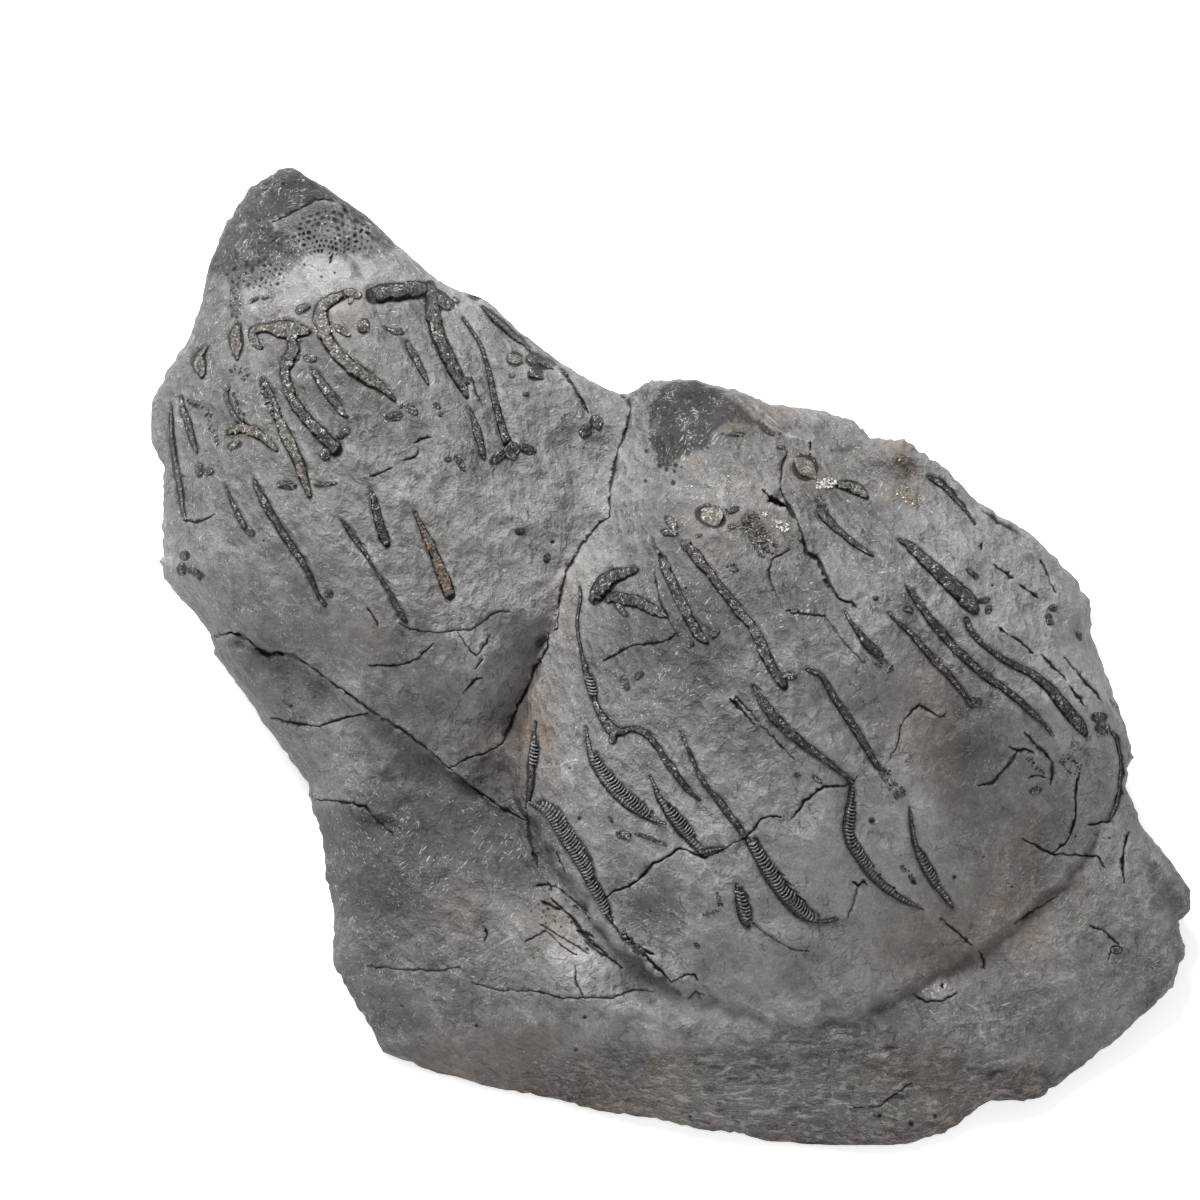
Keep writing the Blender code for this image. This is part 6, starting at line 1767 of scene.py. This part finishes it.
class Shading:
    """A small bench for wiring one node material."""

    def __init__(self, name: str) -> None:
        self.material = bpy.data.materials.new(name)
        self.material.use_nodes = True
        self.tree = self.material.node_tree
        self.shader = self.tree.nodes["Principled BSDF"]
        self.place = self.tree.nodes.new("ShaderNodeTexCoord").outputs["Object"]

    def link(self, socket: Socket, value: object) -> None:
        """Feed a socket from another socket, or set it to a plain value."""
        if isinstance(value, Socket):
            self.tree.links.new(value, socket)
        else:
            socket.default_value = value

    def node(self, kind: str, inputs: dict[str | int, object], **settings: str) -> bpy.types.Node:
        """Add one node with its settings, and feed its inputs."""
        node = self.tree.nodes.new("ShaderNode" + kind)
        for name, value in settings.items():
            setattr(node, name, value)
        for name, value in inputs.items():
            self.link(node.inputs[name], value)
        return node

    def finish(self, inputs: dict[str, object]) -> Material:
        """Feed the inputs of the shader, and return the material."""
        for name, value in inputs.items():
            self.link(self.shader.inputs[name], value)
        return self.material

    def stretched(self, long: float, turn: float, place: Socket) -> Socket:
        """Coordinates for a pattern drawn out along a direction.

        Args:
            long: how many times longer the pattern gets.
            turn: its direction, in radians from across towards up.
            place: coordinates to start from.

        Returns:
            The drawn-out coordinates.
        """
        inputs = {"Vector": place, "Rotation": (0.0, 0.0, turn), "Scale": (long, 1.0, 1.0)}
        return self.node("Mapping", inputs, vector_type="TEXTURE").outputs["Vector"]

    def bent(self, size: float, amount: float) -> Socket:
        """Coordinates that wander, both lengths in millimetres."""
        swell = self.swell(size, 3.0, 0.5, self.place).outputs["Color"]
        inputs = {0: swell, 1: (amount * MM,) * 3, 2: self.place}
        return self.node("VectorMath", inputs, operation="MULTIPLY_ADD").outputs[0]

    def swell(self, size: float, detail: float, rough: float, place: Socket) -> bpy.types.Node:
        """Noise node with swells of a size in millimetres."""
        return self.node("TexNoise", {"Vector": place, "Scale": 1.0 / (size * MM),
                                      "Detail": detail, "Roughness": rough})

    def noise(self, size: float, detail: float = 4.0, rough: float = 0.55,
              place: Socket | None = None) -> Socket:
        """Noise pattern with swells of a size in millimetres."""
        return self.swell(size, detail, rough, place or self.place).outputs["Fac"]

    def cells(self, size: float, place: Socket | None = None, seen: str = "Distance") -> Socket:
        """Scattered cells of a size in millimetres: distance to their middles, or their chance."""
        inputs = {"Vector": place or self.place, "Scale": 1.0 / (size * MM)}
        return self.node("TexVoronoi", inputs).outputs[seen]

    def threads(self, size: float, width: float, place: Socket, detail: float = 2.0) -> Socket:
        """Thin wandering lines: where a noise crosses its middle value."""
        swell = self.noise(size, detail, 0.5, place)
        off = self.math("ABSOLUTE", self.math("SUBTRACT", swell, 0.5))
        return self.ramp(off, width, 0.4 * width)

    def tint(self, name: str) -> Socket:
        """A tint that the mesh carries."""
        return self.node("Attribute", {}, attribute_name=name).outputs["Fac"]

    def ramp(self, value: Socket, low: float, high: float,
             to: tuple[float, float] = (0.0, 1.0)) -> Socket:
        """Map a stretch of values onto another, and clamp it."""
        inputs = {"Value": value, "From Min": low, "From Max": high, "To Min": to[0],
                  "To Max": to[1]}
        return self.node("MapRange", inputs).outputs["Result"]

    def math(self, how: str, first: object, second: object = 0.0) -> Socket:
        """Combine two values."""
        return self.node("Math", {0: first, 1: second}, operation=how).outputs[0]

    def times(self, first: object, *others: object) -> Socket:
        """Multiply values, from the first on."""
        for other in others:
            first = self.math("MULTIPLY", first, other)
        return first

    def plus(self, first: object, *others: object) -> Socket:
        """Add values, from the first on."""
        for other in others:
            first = self.math("ADD", first, other)
        return first

    def mix(self, share: object, first: object, second: object, how: str = "MIX") -> Socket:
        """Blend two colours."""
        inputs = {"Factor": share, 6: first, 7: second}
        return self.node("Mix", inputs, data_type="RGBA", blend_type=how).outputs[2]

    def bump(self, height: Socket, distance: float) -> Socket:
        """Bump from a height, with its depth in millimetres."""
        inputs = {"Strength": 1.0, "Distance": distance * MM, "Height": height}
        return self.node("Bump", inputs).outputs["Normal"]


@dataclass(frozen=True)
class MudstoneFinish:
    """Prepared grey mudstone: scribe marks, clay stains, dark caps, and painted light and shade from the
    mesh's tints.
    """

    # Pale, deep and black also paint light and shade from the tints; crack also colours the painted shade
    # in cracks, pits and seats.
    pale: Colour = (0.285, 0.281, 0.273, 1.0)
    grey: Colour = (0.154, 0.152, 0.149, 1.0)
    deep: Colour = (0.088, 0.087, 0.086, 1.0)
    clay: Colour = (0.130, 0.104, 0.087, 1.0)
    rough_clay: Colour = (0.140, 0.120, 0.103, 1.0)
    crack: Colour = (0.012, 0.011, 0.010, 1.0)
    cap: Colour = (0.019, 0.019, 0.020, 1.0)
    scratch: Colour = (0.40, 0.395, 0.38, 1.0)
    black: Colour = (0.02, 0.02, 0.02, 1.0)

    GRAIN_TURN = -0.99
    STRATA_TURN = 0.06

    def material(self) -> Material:
        """Wire the material.

        Returns:
            The material.
        """
        bench = Shading("mudstone_finish")
        bent = bench.bent(7.0, 5.0)
        broad = bench.noise(24.0, 2.0, 0.55)
        cloud = bench.noise(6.5, 4.0, 0.6, bent)
        grain = bench.noise(0.8, 3.0, 0.7)
        drawn = bench.stretched(2.0, self.GRAIN_TURN, bent)
        chips = bench.cells(3.2, drawn)
        relief = bench.plus(bench.tint("pale"), bench.ramp(cloud, 0.38, 0.62, (-0.12, 0.12)))
        stain = bench.times(bench.tint("stain"), bench.ramp(cloud, 0.40, 0.56, (0.35, 1.0)))
        rough = bench.times(bench.tint("rough"), bench.ramp(broad, 0.46, 0.54, (0.15, 1.0)))
        shade = bench.plus(bench.tint("shade"), bench.ramp(cloud, 0.36, 0.64, (-0.08, 0.08)))
        colour = bench.mix(bench.ramp(broad, 0.36, 0.60, (0.35, 1.0)), self.deep, self.grey)
        # The relief tint paints crests paler and hollows darker, and the shade tint paints light and
        # shade, partly weathering; stains and rough clay are the stone's own colour.
        for value, low, high, most, coat in (
                (relief, 0.0, 1.4, 1.0, self.pale), (relief, 0.0, -1.1, 0.8, self.deep),
                (stain, 0.05, 0.75, 0.9, self.clay), (rough, 0.0, 1.0, 0.75, self.rough_clay),
                (shade, 0.0, 1.1, 0.9, self.pale), (shade, 0.0, -1.1, 0.75, self.black)):
            colour = bench.mix(bench.ramp(value, low, high, (0.0, most)), colour, coat)
        streaks = bench.noise(0.8, 2.0, 0.65, bench.stretched(6.0, self.GRAIN_TURN, bent))
        strata = bench.noise(1.9, 3.0, 0.7, bench.stretched(2.4, self.STRATA_TURN, bent))
        split = bench.times(bench.tint("rough"), bench.ramp(strata, 0.42, 0.58, (-0.25, 0.3)))
        facet = bench.times(
            bench.ramp(bench.cells(3.2, drawn, "Color"), 0.1, 0.9, (0.9, 1.1)),
            bench.ramp(chips, 0.1, 0.7, (0.93, 1.1)), bench.ramp(grain, 0.25, 0.75, (0.74, 1.26)),
            bench.ramp(streaks, 0.3, 0.7, (0.94, 1.06)), bench.plus(split, 1.0))
        colour = bench.mix(1.0, colour, facet, "MULTIPLY")
        worn = bench.times(bench.ramp(grain, 0.48, 0.64, (1.0, 0.8)),
                           bench.ramp(cloud, 0.5, 0.66, (1.0, 0.78)))
        marks = self.scratches(bench, broad, cloud)
        creases = bench.times(bench.threads(11.0, 0.011, bent, 4.0),
                              bench.ramp(broad, 0.56, 0.44))
        specks = bench.times(bench.ramp(bench.cells(3.0), 0.08, 0.04),
                             bench.ramp(cloud, 0.56, 0.62))
        # The dark tint, mixed last, is painted shade in cracks, pits, seats and beds.
        for share, coat in (
                (bench.times(bench.tint("cap"), worn), self.cap),
                (bench.times(marks, bench.ramp(stain, 0.1, 0.6, (0.7, 0.2))), self.scratch),
                (bench.times(creases, 0.5), self.crack),
                (bench.times(specks, 0.8), self.scratch),
                (bench.ramp(bench.tint("dark"), 0.12, 0.75, (0.0, 0.95)), self.crack)):
            colour = bench.mix(share, colour, coat)
        height = bench.plus(bench.times(grain, 0.35), bench.noise(2.6, 4.0, 0.62, bent),
                            bench.times(chips, 0.9), bench.times(streaks, 0.2),
                            bench.times(split, 1.6))
        height = bench.math("SUBTRACT", height, bench.times(marks, 0.12))
        return bench.finish({
            "Base Color": colour, "Roughness": bench.ramp(cloud, 0.3, 0.7, (0.6, 0.85)),
            "Specular IOR Level": 0.3, "Normal": bench.bump(height, 1.3),
        })

    def scratches(self, bench: Shading, broad: Socket, cloud: Socket) -> Socket:
        """Short pale scribe marks in a few directions, and curled pale threads."""
        bent = bench.bent(4.0, 1.6)
        total = bench.times(bench.threads(3.4, 0.016, bent),
                            bench.ramp(cloud, 0.53, 0.6, (0.0, 0.85)))
        for turn, size, patch, low, high in (
                (0.95, 0.7, broad, 0.50, 0.56), (0.35, 0.6, broad, 0.48, 0.42),
                (1.45, 0.55, cloud, 0.54, 0.60), (-0.7, 0.6, cloud, 0.44, 0.38)):
            place = bench.stretched(8.0, turn, bent)
            streak = bench.ramp(bench.noise(size, 1.0, 0.5, place), 0.66, 0.72)
            total = bench.math("MAXIMUM", total, bench.times(streak, bench.ramp(patch, low, high)))
        return total


@dataclass(frozen=True)
class FossilFinish:
    """Pyritized fossil: dark, coarsely grained, with pale specks and glints, and painted shade at its
    sides and dents.
    """

    name: str
    dark: Colour
    light: Colour
    fleck: Colour = (0.55, 0.52, 0.47, 1.0)
    flecks: float = 0.8
    seam: Colour = (0.010, 0.009, 0.008, 1.0)

    def material(self) -> Material:
        """Wire the material.

        Returns:
            The material.
        """
        bench = Shading(self.name)
        bent = bench.bent(2.0, 1.2)
        cloud = bench.noise(3.0, 3.0, 0.6)
        grain = bench.noise(0.9, 2.0, 0.6, bent)
        both = bench.plus(bench.times(grain, 0.65), bench.times(cloud, 0.35))
        colour = bench.mix(bench.ramp(both, 0.44, 0.57), self.dark, self.light)
        threads = bench.times(bench.threads(1.1, 0.04, bent),
                              bench.ramp(bench.noise(1.7, 2.0), 0.54, 0.62))
        dots = bench.times(bench.ramp(bench.noise(0.42, 2.0), 0.62, 0.68),
                           bench.ramp(both, 0.50, 0.55))
        specks = bench.math("MAXIMUM", threads, dots)
        colour = bench.mix(bench.times(specks, self.flecks), colour, self.fleck)
        # Dark joints, and painted shade at the arm's sides and dents, go to the seam colour.
        joint_and_painted_shade = bench.ramp(bench.tint("joint_and_painted_shade"), 0.15, 0.9, (0.0, 0.9))
        return bench.finish({
            "Base Color": bench.mix(joint_and_painted_shade, colour, self.seam),
            "Metallic": bench.times(specks, 0.3),
            "Roughness": bench.ramp(grain, 0.3, 0.7, (0.7, 0.5)),
            "Specular IOR Level": 0.3, "Normal": bench.bump(grain, 0.5),
        })


@dataclass(frozen=True)
class CrystalFinish:
    """Small crystals: a tarnished and a bright colour mixed by a fine noise, more metallic and glossier
    where bright.
    """

    name: str
    bright: Colour
    tarnish: Colour
    metallic: float

    def material(self) -> Material:
        """Wire the material.

        Returns:
            The material.
        """
        bench = Shading(self.name)
        cloud = bench.noise(1.0, 3.0, 0.6)
        return bench.finish({
            "Base Color": bench.mix(bench.ramp(cloud, 0.4, 0.6), self.tarnish, self.bright),
            "Metallic": bench.ramp(cloud, 0.4, 0.62, (0.1, self.metallic)),
            "Roughness": bench.ramp(cloud, 0.3, 0.7, (0.5, 0.3)),
            "Normal": bench.bump(bench.noise(0.5, 2.0), 0.15),
        })


@dataclass
class Studio:
    """Pale floor, soft studio light and a long lens above the block.

    Attributes:
        frame_width: width of the picture at the face, in millimetres.
        aim: point of the face in the middle of the picture: across, up, lift.
        elevation: angle of the view above the ground, in degrees.
        lens: focal length in millimetres.
    """

    frame_width: float = 400.0
    aim: tuple[float, float, float] = (-23.3, 181.7, 20.0)
    elevation: float = 70.0
    lens: float = 600.0

    def build(self) -> None:
        """Build floor, lights and camera."""
        self.build_floor()
        self.build_world()
        self.add_area("key_light", (-0.5, 0.8, 1.2), 0.8, 53.5)
        self.add_area("fill_light", (0.5, -0.9, 1.1), 1.4, 4.0)
        self.build_camera()

    def build_floor(self) -> None:
        """Plain pale floor under the block."""
        mesh = bmesh.new()
        bmesh.ops.create_grid(mesh, x_segments=1, y_segments=1, size=14.0)
        bmesh.ops.translate(mesh, verts=mesh.verts[:], vec=(0.0, 0.0, -0.0002))
        item = new_object("studio_floor", mesh, False)
        item.data.materials.append(Shading("floor_finish").finish({
            "Base Color": (0.93, 0.93, 0.93, 1.0), "Roughness": 0.9,
            "Emission Color": (1.0, 1.0, 1.0, 1.0), "Emission Strength": 0.55,
        }))

    def build_world(self) -> None:
        """Even white surroundings."""
        world = bpy.data.worlds.new("studio")
        world.use_nodes = True
        back = world.node_tree.nodes["Background"]
        back.inputs["Color"].default_value = (1.0, 1.0, 1.0, 1.0)
        back.inputs["Strength"].default_value = 0.37
        bpy.context.scene.world = world
        bpy.context.scene.view_settings.view_transform = "Standard"

    def add_area(self, name: str, place: tuple, size: float, power: float) -> None:
        """Add one square soft light that faces the block."""
        light = bpy.data.lights.new(name, "AREA")
        light.size = size
        light.energy = power
        item = bpy.data.objects.new(name, light)
        item.location = place
        aim = Vector((0.0, 0.0, 0.06)) - Vector(place)
        item.rotation_euler = aim.to_track_quat("-Z", "Y").to_euler()
        bpy.context.scene.collection.objects.link(item)

    def build_camera(self) -> None:
        """Camera that looks straight onto the face."""
        data = bpy.data.cameras.new("camera")
        data.lens = self.lens
        distance = self.frame_width * MM * self.lens / data.sensor_width
        raised = math.radians(self.elevation)
        back = Vector((0.0, -math.cos(raised), math.sin(raised)))
        item = bpy.data.objects.new("camera", data)
        item.location = to_world(*self.aim) + back * distance
        item.rotation_euler = (math.pi / 2 - raised, 0.0, 0.0)
        bpy.context.scene.collection.objects.link(item)
        bpy.context.scene.camera = item


# Dark and light tone of each look.
FOSSIL_TONES = {
    Look.DARK: ((0.010, 0.0095, 0.0088, 1.0), (0.050, 0.047, 0.043, 1.0)),
    Look.BROWN: ((0.022, 0.020, 0.0175, 1.0), (0.095, 0.086, 0.074, 1.0)),
    Look.RUST: ((0.062, 0.044, 0.034, 1.0), (0.160, 0.118, 0.094, 1.0)),
    Look.COMBED: ((0.070, 0.068, 0.064, 1.0), (0.185, 0.181, 0.173, 1.0)),
    Look.SHELL: ((0.050, 0.045, 0.038, 1.0), (0.130, 0.117, 0.101, 1.0)),
}


def main() -> None:
    """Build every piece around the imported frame."""
    logging.basicConfig(level=logging.INFO, format="%(message)s")
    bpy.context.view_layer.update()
    face = Face()
    looks = {
        look: FossilFinish(f"{look.name.lower()}_fossil", dark, light).material()
        for look, (dark, light) in FOSSIL_TONES.items()
    }
    kinds = {
        Kind.CRUMB: looks[Look.DARK],
        Kind.CRYSTAL: CrystalFinish("pyrite_finish", (0.21, 0.185, 0.15, 1.0),
                                    (0.055, 0.048, 0.040, 1.0), 0.6).material(),
        Kind.WHITE: CrystalFinish("pale_crystal_finish", (0.62, 0.59, 0.55, 1.0),
                                  (0.25, 0.22, 0.19, 1.0), 0.1).material(),
    }
    MudstoneBlock(face).build()
    arms = ArmBuilder(face)
    arms.build(LEFT_ARMS + RIGHT_ARMS, looks)
    arms.build_strips(looks[Look.DARK])
    PinnuleBuilder(face, COMBS).build(looks[Look.COMBED])
    CrumbBuilder(face).build(looks, kinds)
    Studio().build()


if __name__ == "__main__":
    main()
